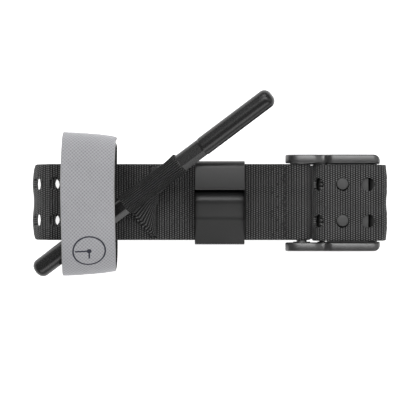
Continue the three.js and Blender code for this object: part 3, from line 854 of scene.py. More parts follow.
def make_sleeve(materials):
    """The sleeve's back and the band's two flat runs between it and the base."""
    back_low, back_high = box_mm("sleeve_back")
    route = Route((back_low[0], (back_low[2] + back_high[2]) / 2), 0)
    route.line(back_high[0] - back_low[0])
    strip = webbing_strip(route.length)
    back = strip.build("sleeve", along_route(route), ribs(WEAVE_DEPTH))
    dress(back, materials["webbing"], "base", "webbing", "sleeve_back")
    for side in ("left", "right"):
        low, high = box_mm(f"band_{side}")
        route = Route((low[0], (low[2] + high[2]) / 2), 0)
        route.line(high[0] - low[0])
        strip = webbing_strip(route.length, width=BAND_WIDTH, thick=BAND_THICK)
        run = strip.build(f"band_run_{side}", along_route(route), ribs(0.1, BAND_RIB))
        dress(run, materials["band"], "base", "band", f"band_{side}")


def thread_stitches(name, runs, radius=0.27, length=2.3, gap=0.5):
    """Rows of sewn thread: each stitch is a small rounded bar that dives in at both ends."""
    rounds, sides = 7, 8
    points, faces = [], []
    for start, end, up in runs:
        start, end, up = (np.array(p, float) for p in (start, end, up))
        span = np.linalg.norm(end - start)
        along = (end - start) / span
        across = np.cross(up, along)
        count = max(1, int(span / (length + gap)))
        for k in range(count):
            middle = start + along * (k + 0.5) * span / count
            first = len(points)
            for r in range(rounds):
                share = r / (rounds - 1)
                lift = radius * 1.4 * math.sin(math.pi * share) - radius
                width = radius * (0.35 + 0.65 * math.sin(math.pi * share) ** 0.4)
                place = middle + along * (share - 0.5) * length + up * lift
                for s in range(sides):
                    angle = 2 * math.pi * s / sides
                    points.append(place + width * (math.cos(angle) * across
                                                   + math.sin(angle) * up))
            faces.extend(tube_faces(rounds, sides, first))
    return new_piece(name, points, faces, sharp=80)


def make_box_stitch(materials):
    """The box stitch that closes the base webbing's loop round the bar."""
    left, right, half = 29.75, 37.75, 17.6
    top = BASE_TOP + 0.12
    up = (0, 0, 1)
    corners = [(left, -half), (right, -half), (right, half), (left, half)]
    runs = [((*corners[k], top), (*corners[(k + 1) % 4], top), up) for k in range(4)]
    zigzag = 6
    for k in range(zigzag):
        y0 = -half + 2 * half * k / zigzag
        y1 = -half + 2 * half * (k + 1) / zigzag
        x0, x1 = (left, right) if k % 2 == 0 else (right, left)
        runs.append(((x0, y0, top), (x1, y1, top), up))
    piece = thread_stitches("box_stitch", runs)
    dress(piece, materials["thread"], "base", "webbing")


# ---- windlass band ----------------------------------------------------------------------
ROD_ALONG = np.array([
    math.cos(ROD_TURN) * math.cos(ROD_TILT),
    math.sin(ROD_TURN) * math.cos(ROD_TILT),
    math.sin(ROD_TILT),
])
POCKET_LENGTH, POCKET_INNER, POCKET_OUTER = 34.8, 3.5, 5.0


def rise_place(side):
    """Puts one layer of the rising band: u is its height share and v its place across."""
    foot = np.array([BAND_MIDDLE, 0.0, BASE_TOP - LAYER - BAND_THICK])
    head = PIVOT.copy()
    head[2] -= POCKET_OUTER / math.cos(ROD_TILT)
    straight = 0.24  # the share that stays in the slot

    def place(u, v, w):
        share = smooth(u, straight, 1.0)
        dx = v * math.cos(ROD_TURN) * share
        dy = v * (1 - share) + v * math.sin(ROD_TURN) * share
        dz = v * ROD_ALONG[2] * share
        turn = np.arctan2(1 - share + math.sin(ROD_TURN) * share, math.cos(ROD_TURN) * share)
        swell = np.sin(math.pi * share)
        belly = 0.9 * swell * np.clip(0.5 - side * v / BAND_WIDTH, 0, 1)
        pleat = 1.7 * swell * np.exp(-(((v + 1.2) / 3.0) ** 2))
        out = side * (0.75 + belly + pleat) + w
        x = foot[0] + (head[0] - foot[0]) * share + dx - out * np.sin(turn)
        y = foot[1] + (head[1] - foot[1]) * share + dy + out * np.cos(turn)
        z = foot[2] + (head[2] - foot[2]) * u + dz
        return np.column_stack([x, y, z])

    return place


def make_rise(materials):
    """Two layers of band that rise through the slot and twist up to the pocket."""
    height = PIVOT[2] - POCKET_OUTER - (BASE_TOP - LAYER - BAND_THICK)
    gathered = 1.7  # the twist draws the band's ribs closer together
    steps = 96
    vertices, faces, uvs = [], [], []
    for side in (1, -1):
        strip = Strip(np.linspace(0, 1, steps + 1), np.linspace(-1, 1, 49) * BAND_WIDTH / 2,
                      BAND_THICK)
        strip.fill()
        flat = np.array(strip.vertices)
        u, v, w = flat.T
        relief = ribs(0.12, BAND_RIB)(u * height * gathered, v)
        w = w + np.sign(w) * relief
        start = len(vertices)
        vertices.extend(rise_place(side)(u, v, w))
        faces.extend([tuple(start + k for k in face) for face in strip.faces])
        uvs.extend(zip(u * height * gathered, v, strict=True))
    piece = new_piece("band_twist", vertices, faces, sharp=80)
    weave = piece.data.uv_layers.new(name="Weave")
    for loop in piece.data.loops:
        weave.data[loop.index].uv = uvs[loop.vertex_index]
    piece.data.materials.append(materials["band"])
    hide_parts("band_rise")
    start = (BAND_MIDDLE * MM, 0, BASE_TOP * MM)
    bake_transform(piece)


# ---- turned pieces ----------------------------------------------------------------------
def turned(name, profile, centre, axis, segments=64, shape=None, sharp=35.0):
    """A turned solid: profile rows are (place along the axis, radius). shape(along, angle,
    radius) can change the radius; the angle is 0 at the top."""
    axis = np.array(axis, float)
    axis /= np.linalg.norm(axis)
    up = np.array([0.0, 0.0, 1.0]) - axis * axis[2]
    up /= np.linalg.norm(up)
    side = np.cross(up, axis)
    angles = 2 * math.pi * np.arange(segments) / segments
    points = []
    for along, radius in profile:
        radii = np.full(segments, radius)
        if shape is not None:
            radii = shape(along, angles, radii)
        ring = np.array(centre) + axis * along
        for angle, r in zip(angles, radii, strict=True):
            points.append(ring + r * (math.cos(angle) * up - math.sin(angle) * side))
    faces = []
    for row in range(len(profile) - 1):
        for k in range(segments):
            a, b = row * segments + k, row * segments + (k + 1) % segments
            faces.append((a, a + segments, b + segments, b))
    faces.append(tuple(range(segments)))
    last = (len(profile) - 1) * segments
    faces.append(tuple(last + k for k in reversed(range(segments))))
    return new_piece(name, points, faces, sharp)


def rounded_end(tip, radius, rounding, sign, steps=8):
    """Profile rows of a rounded end, from the tip's flat to the full radius."""
    rows = []
    for k in range(steps + 1):
        angle = math.pi / 2 * k / steps
        along = sign * (tip - rounding + rounding * math.cos(angle))
        rows.append((along, radius - rounding + rounding * math.sin(angle)))
    return rows


NECK_FLATS = ((56.0, 25.0), (-6.0, 30.0), (124.0, 25.0), (186.0, 30.0))


def rod_facets(along, angles, radii):
    """The necks have flats: each is a centre angle and half its width, in degrees."""
    start, end = ROD_WAIST / 2 + 1.0, ROD_NECK_END
    if not start < abs(along) < end:
        return radii
    depth = min(1.0, (abs(along) - start) / 0.6, (end - abs(along)) / 0.5)
    radii = radii.copy()
    for middle, reach in NECK_FLATS:
        turn = (np.degrees(angles) - middle + 180) % 360 - 180
        flat = math.cos(math.radians(reach)) / np.cos(np.radians(turn))
        cut = radii[0] * np.where(np.abs(turn) < reach, flat, 1.0)
        radii = np.where(np.abs(turn) < reach, radii + (cut - radii) * depth, radii)
    return radii


def make_rod(materials):
    tip = ROD_LENGTH / 2
    neck = ROD_RADIUS - 0.25
    rows = rounded_end(tip, ROD_RADIUS, 3.6, -1)
    rows += [(-along, ROD_RADIUS) for along in np.linspace(tip - 6, ROD_NECK_END + 0.8, 8)]
    rows += [(-ROD_NECK_END - 0.3, ROD_RADIUS), (-ROD_NECK_END, ROD_RADIUS - 0.06)]
    inner = np.linspace(ROD_NECK_END - 0.35, ROD_WAIST / 2 + 1.05, 34)
    rows += [(-along, neck) for along in inner]
    rows += [(-ROD_WAIST / 2 + 0.4, neck - 0.3), (-ROD_WAIST / 2, 3.3), (0.0, 3.3)]
    rows += [(-along, radius) for along, radius in reversed(rows[:-1])]
    rod = turned("rod", rows, PIVOT, ROD_ALONG, 120, rod_facets, sharp=14)
    dress(rod, materials["rod"], "windlass", "rod_aluminium", "windlass_rod")


def make_pocket(materials):
    """The band's ribbed sleeve round the rod's waist, open and slightly flared at both ends."""
    around, ribs_round = 28 * 8, 28
    half = POCKET_LENGTH / 2
    stations = np.concatenate([
        [-half, -half + 0.12, -half + 0.35, -half + 0.7],
        np.linspace(-half + 1.3, half - 1.3, 44),
        [half - 0.7, half - 0.35, half - 0.12, half],
    ])
    axis, up = ROD_ALONG, np.array([0.0, 0.0, 1.0])
    up = up - axis * axis[2]
    up /= np.linalg.norm(up)
    side = np.cross(up, axis)
    angles = 2 * math.pi * np.arange(around) / around
    points, uvs = [], []
    for layer in (1, 0):
        for x in stations:
            from_end = half - abs(x)
            flare = 0.35 * math.exp(-((from_end / 2.4) ** 2))
            soft = 0.25 * max(0.0, 1 - from_end / 0.5) ** 2
            wobble = 0.1 * np.sin(3 * angles + 0.35 * x) + 0.07 * math.sin(0.5 * x)
            seam = 0.55 * np.exp(-(((angles - math.pi) / 0.35) ** 2))
            if layer:
                rib = 0.62 * (np.abs(np.cos(ribs_round * angles / 2)) ** 1.1 - 0.5)
                radii = POCKET_OUTER - 0.2 + rib + flare + wobble + seam - soft
            else:
                mouth = 1.1 * smooth(-from_end, -2.6, -1.6)
                radii = POCKET_INNER + 0.1 + mouth + 0 * angles + soft
            for angle, r in zip(angles, radii, strict=True):
                points.append(PIVOT + axis * x + r * (math.cos(angle) * up - math.sin(angle) * side))
                uvs.append((angle * POCKET_OUTER, x))
    rows = len(stations)
    faces = []
    for layer in range(2):
        for row in range(rows - 1):
            for k in range(around):
                a = (layer * rows + row) * around + k
                b = (layer * rows + row) * around + (k + 1) % around
                quad = (a, a + around, b + around, b)
                faces.append(quad if layer == 0 else quad[::-1])
    for row, flip in ((0, 1), (rows - 1, -1)):
        for k in range(around):
            a, b = row * around + k, row * around + (k + 1) % around
            c, d = a + rows * around, b + rows * around
            quad = (a, b, d, c)
            faces.append(quad if flip > 0 else quad[::-1])
    piece = new_piece("band_pocket", points, faces, sharp=80)
    weave = piece.data.uv_layers.new(name="Weave")
    turn = 2 * math.pi * POCKET_OUTER
    for face in piece.data.polygons:
        own = [uvs[piece.data.loops[k].vertex_index] for k in face.loop_indices]
        wrap = max(p[0] for p in own) - min(p[0] for p in own) > turn / 2
        for k, (u, v) in zip(face.loop_indices, own, strict=True):
            weave.data[k].uv = (u + turn if wrap and u < turn / 2 else u, v)
    dress(piece, materials["band"], "windlass", "band", "rod_pocket")


def make_bar_tack(materials):
    """A short dense bar of thread across the ribs on the pocket's side."""
    lean = math.radians(-12)
    outwards = np.array([math.sin(ROD_TURN), -math.cos(ROD_TURN), 0.0])
    above = np.array([0.0, 0.0, 1.0])
    normal = outwards * math.cos(lean) + above * math.sin(lean)
    tangent = above * math.cos(lean) - outwards * math.sin(lean)
    middle = PIVOT + normal * (POCKET_OUTER + 0.25)
    runs = []
    for k in range(11):
        centre = middle + ROD_ALONG * (k * 0.42 - 0.3)
        runs.append((centre - tangent * 0.9, centre + tangent * 0.9, normal))
    piece = thread_stitches("bar_tack", runs, radius=0.3, length=1.8, gap=0.0)
    dress(piece, materials["thread"], "windlass", "band")


# ---- moulded clip -----------------------------------------------------------------------
def arc(centre, radius, start, end, steps):
    angles = np.radians(np.linspace(start, end, steps + 1))
    return [(centre[0] + radius * math.cos(a), centre[1] + radius * math.sin(a)) for a in angles]


def curve(p0, p1, p2, steps=8):
    """A quadratic curve, without its first point."""
    found = []
    for k in range(1, steps + 1):
        t = k / steps
        found.append(tuple(
            (1 - t) ** 2 * a + 2 * t * (1 - t) * b + t * t * c
            for a, b, c in zip(p0, p1, p2, strict=True)
        ))
    return found


def inset(outline, distance):
    """A closed outline, counter-clockwise, moved inwards."""
    points = np.array(outline)
    before = points - np.roll(points, 1, axis=0)
    after = np.roll(points, -1, axis=0) - points
    before /= np.linalg.norm(before, axis=1)[:, None]
    after /= np.linalg.norm(after, axis=1)[:, None]
    normal_a = np.column_stack([-before[:, 1], before[:, 0]])
    normal_b = np.column_stack([-after[:, 1], after[:, 0]])
    middle = normal_a + normal_b
    scale = 1.0 / np.maximum(0.35, 1 + np.sum(normal_a * normal_b, axis=1))
    return points + middle * (scale * distance)[:, None]


def extruded(name, outline, low, high, bevel, axis, sharp=30.0):
    """A solid with rounded rims from a counter-clockwise outline; axis "x" takes outlines in
    YZ and axis "y" takes outlines in XZ."""
    rounds = 4
    levels = []
    for k in range(rounds + 1):
        angle = math.pi / 2 * k / rounds
        levels.append((bevel * (1 - math.sin(angle)), bevel * (1 - math.cos(angle))))
    rows = [(low + back, inward) for inward, back in levels]
    rows += [(high - back, inward) for inward, back in reversed(levels)]
    count = len(outline)
    points = []
    for level, inward in rows:
        for a, b in inset(outline, inward):
            points.append((level, a, b) if axis == "x" else (a, level, b))
    faces = tube_faces(len(rows), count)
    if axis != "x":
        faces = [face[::-1] for face in faces]
    return new_piece(name, points, faces, sharp)


def clip_outline():
    low, high = box_mm("rod_clip")
    bottom, top_y = low[1], high[1]
    plate_low = BASE_TOP + GAP
    floor = plate_low + 2.0
    top, lip, corner = high[2], 0.9, 3.4
    edge_y, jaw = 6.0, 2.6
    channel = top_y - 4.0
    ceiling = top - jaw
    points = [(bottom + 0.3, low[2]), (bottom + lip, low[2]), (bottom + lip, plate_low)]
    points += [(top_y - lip, plate_low), (top_y - lip, low[2]), (top_y, low[2])]
    points += arc((top_y - corner, top - corner), corner, 0, 90, 10)
    points += [(edge_y + 1.1, top)] + curve((edge_y + 1.1, top), (edge_y, top), (edge_y, top - 1.0))
    points += [(edge_y, ceiling + 0.4)]
    points += curve((edge_y, ceiling + 0.4), (edge_y, ceiling), (edge_y + 0.5, ceiling), 4)
    points += arc((channel, ceiling - 2), 2, 90, 0, 8)
    points += arc((channel, floor + 2), 2, 0, -90, 8)
    points += [(6.1, floor)]
    points += curve((6.1, floor), (5.7, floor), (5.5, floor + 0.5), 5)
    points += curve((5.5, floor + 0.5), (5.2, floor + 1.65), (4.3, floor + 1.9), 10)
    points += curve((4.3, floor + 1.9), (2.4, floor + 2.55), (0.9, floor + 2.6), 10)
    points += curve((0.9, floor + 2.6), (-0.2, floor + 2.58), (-1.4, floor + 2.2), 6)
    points += curve((-1.4, floor + 2.2), (-4.2, floor + 1.35), (-6.9, floor + 0.45), 6)
    points += curve((-6.9, floor + 0.45), (-8.0, floor + 0.05), (-9.2, floor), 4)
    points += [(bottom + 1.2, floor)]
    points += curve((bottom + 1.2, floor), (bottom, floor), (bottom, floor - 1.2), 6)
    return points


def make_clip(materials):
    low, high = box_mm("rod_clip")
    clip = extruded("clip", clip_outline(), low[0], high[0], 0.45, "x")
    dress(clip, materials["clip"], "base", "moulded_plastic", "rod_clip")


# ---- time strap -------------------------------------------------------------------------
TIME_LEFT, TIME_RIGHT = -72.8, -46.3
TIME_MIDDLE = (TIME_LEFT + TIME_RIGHT) / 2
TIME_Y, TIME_HALF, TIME_Z, TIME_THICK = -0.95, 34.1, 61.3, 1.6
TIME_SIDE_RADIUS, TIME_CLOSE_RADIUS, TIME_RISE = 16.7, 10.4, 16.6
TIME_OVERLAP, TIME_FLAP_DROP = 3.4, 6.0


def flap_line(steps=240):
    """The flap's centre line in YZ, from its root over the rod and down the closing side."""
    power = 2.4
    angles = np.linspace(0, math.pi, steps + 1)
    across = np.abs(np.cos(angles)) ** (2 / power) * TIME_HALF * np.sign(np.cos(angles))
    up = np.abs(np.sin(angles)) ** (2 / power) * TIME_RISE
    points = np.column_stack([TIME_Y - across, TIME_Z + up])
    end = np.array([[TIME_Y + TIME_HALF, TIME_Z - TIME_FLAP_DROP]])
    return np.concatenate([points, end])


def back_line():
    """The back strap's centre line in YZ: from the flap's root under the base and up again."""
    root = (TIME_Y - TIME_HALF + TIME_SIDE_RADIUS, TIME_Z - GAP)
    low = root[1] - TIME_SIDE_RADIUS
    end_y = TIME_Y + TIME_HALF - TIME_OVERLAP
    points = arc(root, TIME_SIDE_RADIUS, 180, 270, 24)
    points += arc((end_y - TIME_CLOSE_RADIUS, low + TIME_CLOSE_RADIUS), TIME_CLOSE_RADIUS,
                  -90, 0, 20)
    points += [(end_y, TIME_Z)]
    return np.array(points)


def line_lengths(points):
    return np.concatenate([[0], np.cumsum(np.linalg.norm(np.diff(points, axis=0), axis=1))])


def along_line(points, outside):
    """Bends a strip along a centre line in YZ; outside is 1 if the outer face lies to the
    right of the walk and -1 if to the left. The ring is a little wider at its left rim."""
    lengths = line_lengths(points)
    ahead = np.gradient(points, lengths, axis=0)
    ahead /= np.linalg.norm(ahead, axis=1)[:, None]
    right = np.column_stack([ahead[:, 1], -ahead[:, 0]]) * outside

    def place(u, v, w):
        y = np.interp(u, lengths, points[:, 0]) + np.interp(u, lengths, right[:, 0]) * w
        z = np.interp(u, lengths, points[:, 1]) + np.interp(u, lengths, right[:, 1]) * w
        share = v / (TIME_RIGHT - TIME_LEFT)
        spread = 1 - 0.052 * share - 0.012 * (np.abs(share + 0.1) * 2) ** 3
        y = TIME_Y + (y - TIME_Y) * spread
        x = TIME_MIDDLE + v + 0.25 * np.sin(u * 0.09)
        return np.column_stack([x, y, z])

    return place


def time_strip(name, points, outside, materials):
    """Tape outside, black lining inside and a light selvage."""
    length = line_lengths(points)[-1]
    half = (TIME_RIGHT - TIME_LEFT) / 2
    across = np.concatenate([[-half, -half + 0.25], np.linspace(-half + 0.8, half - 0.8, 37),
                             [half - 0.25, half]])
    strip = Strip(np.linspace(0, length, int(length / 0.7)), across, TIME_THICK)
    strip.fill()
    piece = strip.build(name, along_line(points, outside), tape_relief)
    for look in ("tape", "lining", "selvage"):
        piece.data.materials.append(materials[look])
    flat = np.array(strip.vertices)
    for polygon in piece.data.polygons:
        _, v, w = flat[list(polygon.vertices)].mean(axis=0)
        if w < 0:
            polygon.material_index = 1
        elif abs(v) > half - 0.4:
            polygon.material_index = 2
    return piece, length


def tape_relief(u, v):
    """The cloth is not quite flat."""
    return 0.05 * np.sin(u * 0.8) * np.sin(v * 1.1)


def make_time_strap(materials):
    back, length = time_strip("time_back", back_line(), 1, materials)
    dress_time("time_strap_back")
    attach(back, "base")
    flap, length = time_strip("time_flap_strap", flap_line(), -1, materials)
    dress_time("time_strap_flap")
    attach(flap, "time_flap")


def dress_time(node):
    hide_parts(node)


def pile_patch(name, node, materials, body, spacing, height, towards):
    """A hook or loop patch: a thin backing with rows of small bent stalks."""
    low, high = box_mm(node)
    back_y = low[1] if towards > 0 else high[1]
    deep = high[1] - low[1]
    points, faces = [], []

    def block(corners):
        first = len(points)
        points.extend(corners)
        for quad in ((0, 1, 2, 3), (7, 6, 5, 4), (0, 4, 5, 1), (1, 5, 6, 2), (2, 6, 7, 3),
                     (3, 7, 4, 0)):
            faces.append(tuple(first + k for k in quad))

    def stalk(x, z, lean):
        """A stalk from the backing, bent over at its end."""
        y0 = back_y + towards * deep * 0.4
        y1 = back_y + towards * min(deep, height)
        r = spacing * 0.16
        foot = [(x - r, y0, z - r), (x + r, y0, z - r), (x + r, y0, z + r), (x - r, y0, z + r)]
        tip = [(a + lean * r, y1, c + r) for a, _, c in foot]
        block(foot + tip if towards < 0 else foot[::-1] + tip[::-1])

    y0, y1 = sorted((back_y, back_y + towards * deep * 0.45))
    block([(low[0], y0, low[2]), (high[0], y0, low[2]), (high[0], y0, high[2]),
           (low[0], y0, high[2]), (low[0], y1, low[2]), (high[0], y1, low[2]),
           (high[0], y1, high[2]), (low[0], y1, high[2])][::-1])
    rows = int((high[2] - low[2]) / spacing)
    columns = int((high[0] - low[0]) / spacing)
    for i in range(columns):
        for k in range(rows):
            x = low[0] + (i + 0.5) * (high[0] - low[0]) / columns
            z = low[2] + (k + 0.5) * (high[2] - low[2]) / rows
            stalk(x, z, 1.2 if (i + k) % 2 else -1.2)
    piece = new_piece(name, points, faces)
    dress(piece, materials["pile"], body, "hook_and_loop", node)


# ---- buckle -----------------------------------------------------------------------------
PLATE_CORNER = 3.7  # how round a side plate is at its right end


def plate_outline():
    """A side plate in XZ: two lobes with a waist between them."""
    low, high = box_mm("side_plate_upper")
    left, right, bottom, top = low[0], high[0], low[2], high[2]
    waist, dip, corner = 56.8, 2.6, PLATE_CORNER
    bar_z = (box_mm("strap_bar")[0][2] + box_mm("strap_bar")[1][2]) / 2
    start = (left + 7, bottom + 2.5)
    points = [start]

    def to(control, end, steps=10):
        points.extend(curve(points[-1], control, end, steps))

    to((left + 14, bottom + 1), (waist, bottom + dip), 12)
    to((waist + 5, bottom), (waist + 12, bottom), 12)
    points.append((right - corner, bottom + 1))
    to((right, bottom + 1.5), (right, bottom + corner + 2))
    points.append((right, top - corner - 1))
    to((right, top - 1), (right - corner, top - 0.6))
    points.append((waist + 7, top))
    to((waist + 3.6, top), (waist + 2.2, top - 0.6 * dip), 12)
    to((waist + 1.0, top - dip), (waist, top - dip), 8)
    to((waist - 1.0, top - dip), (waist - 2.2, top - 0.75 * dip), 8)
    to((waist - 3.6, top - 0.9), (waist - 7, top - 1.1), 12)
    points.append((left + 10, top - 1.4))
    to((left, top - 2), (left, bar_z), 12)
    to((left, bottom + 3.5), start, 12)
    return points[:-1]


def drill(piece, holes, low, high):
    """Cuts round or long holes through a piece along Y; each hole is x, z, radius, travel."""
    for x, z, radius, travel in holes:
        outline = [(x + travel + a, z + b) for a, b in arc((0, 0), radius, -90, 90, 20)]
        outline += [(x + a, z + b) for a, b in arc((0, 0), radius, 90, 270, 20)]
        if travel == 0:
            outline = [(x + a, z + b) for a, b in arc((0, 0), radius, 0, 360, 40)][:-1]
        carve(piece, extruded("drill", outline, low - 1, high + 1, 0.01, "y"))


def round_corner(piece, outer_y, inwards):
    """Rounds a side plate's outer face round to its right end, seen from above."""
    low, high = box_mm("side_plate_upper")
    right, radius = high[0], PLATE_CORNER
    x, y = right - radius, outer_y + inwards * radius
    turn = [(x + radius * math.sin(a), y - inwards * radius * math.cos(a))
            for a in np.linspace(0, math.pi / 2, 16)]
    corner = [(x, outer_y - inwards), (right + 1, outer_y - inwards), (right + 1, y)]
    outline = corner + turn[::-1]
    count = len(outline)
    points = [(a, b, z) for z in (low[2] - 1, high[2] + 1) for a, b in outline]
    faces = [tuple(range(count)), tuple(range(2 * count - 1, count - 1, -1))]
    faces += [(k, k + count, (k + 1) % count + count, (k + 1) % count) for k in range(count)]
    if inwards > 0:
        faces = [face[::-1] for face in faces]
    carve(piece, new_piece("corner", points, faces))


def carve(piece, tool):
    """Takes the tool's space out of a piece, and removes the tool."""
    cutter = piece.modifiers.new("carve", "BOOLEAN")
    cutter.operation = "DIFFERENCE"
    cutter.solver = "EXACT"
    cutter.object = tool
    bpy.context.view_layer.objects.active = piece
    bpy.ops.object.modifier_apply(modifier=cutter.name)
    bpy.data.objects.remove(tool)
    piece.data.shade_smooth()
    piece.data.set_sharp_from_angle(angle=math.radians(28))


def middle_xz(node):
    low, high = box_mm(node)
    return (low[0] + high[0]) / 2, (low[2] + high[2]) / 2


def make_side_plates(materials):
    bar_x, bar_z = middle_xz("strap_bar")
    rocker_x, rocker_z = middle_xz("rocker_pin")
    roller_x, roller_z = middle_xz("roller_pin")
    holes = [(bar_x, bar_z, 2.9, 0), (rocker_x, rocker_z, 1.8, 0), (roller_x, roller_z, 1.8, 3.0)]
    for side in ("lower", "upper"):
        low, high = box_mm(f"side_plate_{side}")
        plate = extruded(f"plate_{side}", plate_outline(), low[1], high[1], 0.7, "y")
        drill(plate, holes, low[1], high[1])
        if side == "lower":
            round_corner(plate, low[1], 1)
        else:
            round_corner(plate, high[1], -1)
        dress(plate, materials["buckle"], "base", "buckle_metal", f"side_plate_{side}")


def make_pin(name, node, body, look, slot, materials, groove=None):
    """A cross pin with chamfered ends, and a shallow groove near each end if asked."""
    low, high = box_mm(node)
    radius = (high[0] - low[0]) / 2
    half = (high[1] - low[1]) / 2
    x, z = middle_xz(node)
    rows = [(-half, radius - 0.45), (-half + 0.45, radius)]
    if groove:
        rows += [(-half + groove, radius), (-half + groove + 0.15, radius - 0.25),
                 (-half + groove + 0.75, radius - 0.25), (-half + groove + 0.9, radius)]
    rows += [(-a, r) for a, r in reversed(rows)]
    centre = (x, (low[1] + high[1]) / 2, z)
    pin = turned(name, rows, centre, (0, 1, 0), 48)
    dress(pin, materials[look], body, slot, node)


def make_roller(materials):
    """The hollow roller, with a rounded lip at each end and shallow grip rings."""
    low, high = box_mm("roller_sleeve")
    radius = (high[2] - low[2]) / 2
    half = (high[1] - low[1]) / 2
    bore = 1.8
    rows = [(-half, bore), (-half, radius - 0.4), (-half + 0.4, radius)]
    for along in np.arange(-half + 2.5, half - 2.4, 2.0):
        rows += [(along - 0.25, radius), (along, radius - 0.15), (along + 0.25, radius)]
    rows += [(half - 0.4, radius), (half, radius - 0.4), (half, bore)]
    x, z = middle_xz("roller_sleeve")
    centre = np.array([x, (low[1] + high[1]) / 2, z])
    segments = 48
    points, faces = [], []
    for along, r in rows:
        for k in range(segments):
            angle = 2 * math.pi * k / segments
            points.append(centre + np.array([r * math.cos(angle), along, r * math.sin(angle)]))
    count = len(rows)
    for row in range(count):
        for k in range(segments):
            a, b = row * segments + k, row * segments + (k + 1) % segments
            c = ((row + 1) % count) * segments
            faces.append((a, b, c + (k + 1) % segments, c + k))
    roller = new_piece("roller_tube", points, faces)
    dress(roller, materials["steel"], "roller", "steel", "roller_sleeve")


def make_prong(side, materials):
    """A prong with a slightly domed, rounded head that stands in a belt hole."""
    low, high = box_mm(f"prong_{side}")
    radius = (high[0] - low[0]) / 2 + 0.4
    half = (high[2] - low[2]) / 2
    centre = ((low[0] + high[0]) / 2, (low[1] + high[1]) / 2, (low[2] + high[2]) / 2)
    segments = 48
    rows = [(-half, radius - 0.2), (-half + 0.2, radius), (half - 0.75, radius)]
    for k in range(1, 6):
        angle = math.pi / 2 * k / 5
        rows.append((half - 0.75 + 0.6 * math.sin(angle), radius - 0.6 + 0.6 * math.cos(angle)))
    rows += [(half - 0.1, radius * 0.55), (half - 0.06, radius * 0.15)]
    points = []
    for along, r in rows:
        for k in range(segments):
            angle = 2 * math.pi * k / segments
            points.append((centre[0] + r * math.cos(angle), centre[1] + r * math.sin(angle),
                           centre[2] + along))
    prong = new_piece(f"prong_{side}_stud", points, tube_faces(len(rows), segments))
    dress(prong, materials["prong"], "rocker", "prong_metal", f"prong_{side}")


def make_spring(side, materials):
    """A compression spring with closed end turns; the mesh stays at one length."""
    low, high = box_mm(f"spring_{side}")
    wire, turns, travel = 0.3, 5.5, 3.0
    coil = (high[1] - low[1]) / 2 - wire
    middle_y, middle_z = (low[1] + high[1]) / 2, (low[2] + high[2]) / 2
    start, length = low[0] + wire, high[0] - low[0] - 2 * wire
    around, stations = 10, 180
    forwards = np.array([1.0, 0.0, 0.0])
    share = np.linspace(0, 1, stations + 1)
    angle = 2 * math.pi * turns * share
    along = share - 0.6 * np.sin(2 * math.pi * share) / (2 * math.pi)
    centre = np.column_stack([
        start + length * along,
        middle_y + coil * np.cos(angle),
        middle_z + coil * np.sin(angle),
    ])
    points = []
    for place, turn in zip(centre, angle, strict=True):
        outwards = np.array([0.0, math.cos(turn), math.sin(turn)])
        for k in range(around):
            round_wire = 2 * math.pi * k / around
            across = math.cos(round_wire) * outwards + math.sin(round_wire) * forwards
            points.append(place + wire * across)
    piece = new_piece(f"coil_{side}", points, tube_faces(stations + 1, around), sharp=80)
    dress(piece, materials["steel"], "base", "steel", f"spring_{side}")
    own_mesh(piece)


def boss(name, x, z, radius, inner_y, inwards, rise):
    """A thin raised ring of a side plate round a cross pin, on the inner face."""
    outline = [(x + a, z + b) for a, b in arc((0, 0), radius, 0, 360, 40)][:-1]
    low, high = sorted((inner_y - inwards * 0.3, inner_y + inwards * rise))
    return extruded(name, outline, low, high, 0.12, "y")


def make_bosses(materials):
    bar_x, bar_z = middle_xz("strap_bar")
    roller_x, roller_z = middle_xz("roller_pin")
    upper = box_mm("side_plate_upper")[0][1]
    lower = box_mm("side_plate_lower")[1][1]
    rocker_x, rocker_z = middle_xz("rocker_pin")
    rings = [
        ("boss_bar_upper", bar_x, bar_z, 5.8, upper, -1, 0.42),
        ("boss_bar_lower", bar_x, bar_z, 4.3, lower, 1, 0.42),
        ("boss_roller_upper", roller_x, roller_z, 6.1, upper, -1, 0.68),
        ("boss_roller_lower", roller_x + 1.5, roller_z, 4.0, lower, 1, 0.42),
        ("boss_rocker_upper", rocker_x, rocker_z, 2.9, upper, -1, 0.42),
        ("boss_rocker_lower", rocker_x, rocker_z, 2.9, lower, 1, 0.42),
    ]
    for name, x, z, radius, inner_y, inwards, rise in rings:
        ring = boss(name, x, z, radius, inner_y, inwards, rise)
        dress(ring, materials["buckle"], "base", "buckle_metal")
    plate_low, plate_high = box_mm("top_plate")
    for name, inner_y, inwards in (("seat_upper", upper, -1), ("seat_lower", lower, 1)):
        left, right = plate_high[0] - 1.5, plate_high[0] + 3.6
        low, high = plate_low[2] + 0.1, plate_high[2] - 0.1
        outline = [(left, low), (right, low), (right, high), (left, high)]
        sides = sorted((inner_y - inwards * 0.3, inner_y + inwards * 1.5))
        seat = extruded(name, outline, *sides, 0.2, "y")
        # The seats take the near-black inner look: painted shade inside the buckle.
        dress(seat, materials["inner"], "base", "buckle_metal")


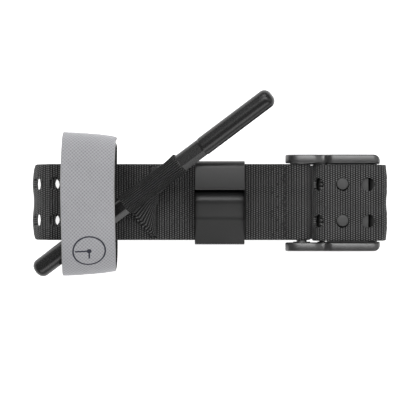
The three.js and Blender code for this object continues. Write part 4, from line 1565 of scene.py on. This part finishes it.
def make_top_plate(materials):
    """The plate that backs the belt at the prongs; its ends sit in the side plates."""
    low, high = box_mm("top_plate")
    route = Route((low[0], (low[2] + high[2]) / 2), 0)
    route.line(high[0] - low[0])
    seat = 0.35
    width = high[1] - low[1] + 2 * seat
    block = HOLE_BLOCK / 2
    middle = PRONG_X - low[0]
    lines = np.concatenate([
        np.linspace(0, middle - block, 5)[:-1],
        np.linspace(middle - block, middle + block, 13),
        np.linspace(middle + block, high[0] - low[0], 12)[1:],
    ])
    strip = Strip(lines, across_lines(width), high[2] - low[2])
    for j0, j1 in ROW_BLOCKS:
        strip.hole(4, 16, j0, j1, 3.72)
    strip.fill()
    centre_y = (low[1] + high[1]) / 2
    place = along_route(route)
    plate = strip.build("backing_plate", lambda u, v, w: place(u, v - centre_y, w))
    plate.data.set_sharp_from_angle(angle=math.radians(35))
    dress(plate, materials["plate"], "base", "moulded_plastic", "top_plate")


def make_buckle(materials):
    make_side_plates(materials)
    make_bosses(materials)
    make_top_plate(materials)
    make_pin("strap_bar_rod", "strap_bar", "base", "buckle", "steel", materials, groove=1.0)
    make_pin("rocker_axle", "rocker_pin", "base", "steel", "steel", materials)
    make_pin("roller_axle", "roller_pin", "carriage", "steel", "steel", materials)
    make_roller(materials)
    for side in ("lower", "upper"):
        make_prong(side, materials)
        make_spring(side, materials)


# The carriage, rocker and spring anchor take the near-black inner look: painted shade inside the
# buckle.
KEPT_LOOKS = {
    "stiffener_plate": "plate", "carriage": "inner",
    "prong_rocker": "inner", "spring_anchor": "inner", "spring_guide_lower": "steel",
    "spring_guide_upper": "steel",
}


def finish_kept_nodes(materials):
    """CAD nodes whose shape stays get a better material."""
    for node, look in KEPT_LOOKS.items():
        for material_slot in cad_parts[node].material_slots:
            material_slot.material = materials[look]


make_camera()
make_floor()
make_world()
make_lights()
materials = make_materials()
make_belt(materials)
make_base(materials)
make_sleeve(materials)
make_box_stitch(materials)
make_rise(materials)
make_rod(materials)
make_pocket(materials)
make_bar_tack(materials)
make_clip(materials)
make_time_strap(materials)
pile_patch("hooks", "hook_patch", materials, "base", 0.9, 0.6, 1)
pile_patch("loops", "loop_patch", materials, "time_flap", 0.7, 0.3, -1)
make_buckle(materials)
finish_kept_nodes(materials)
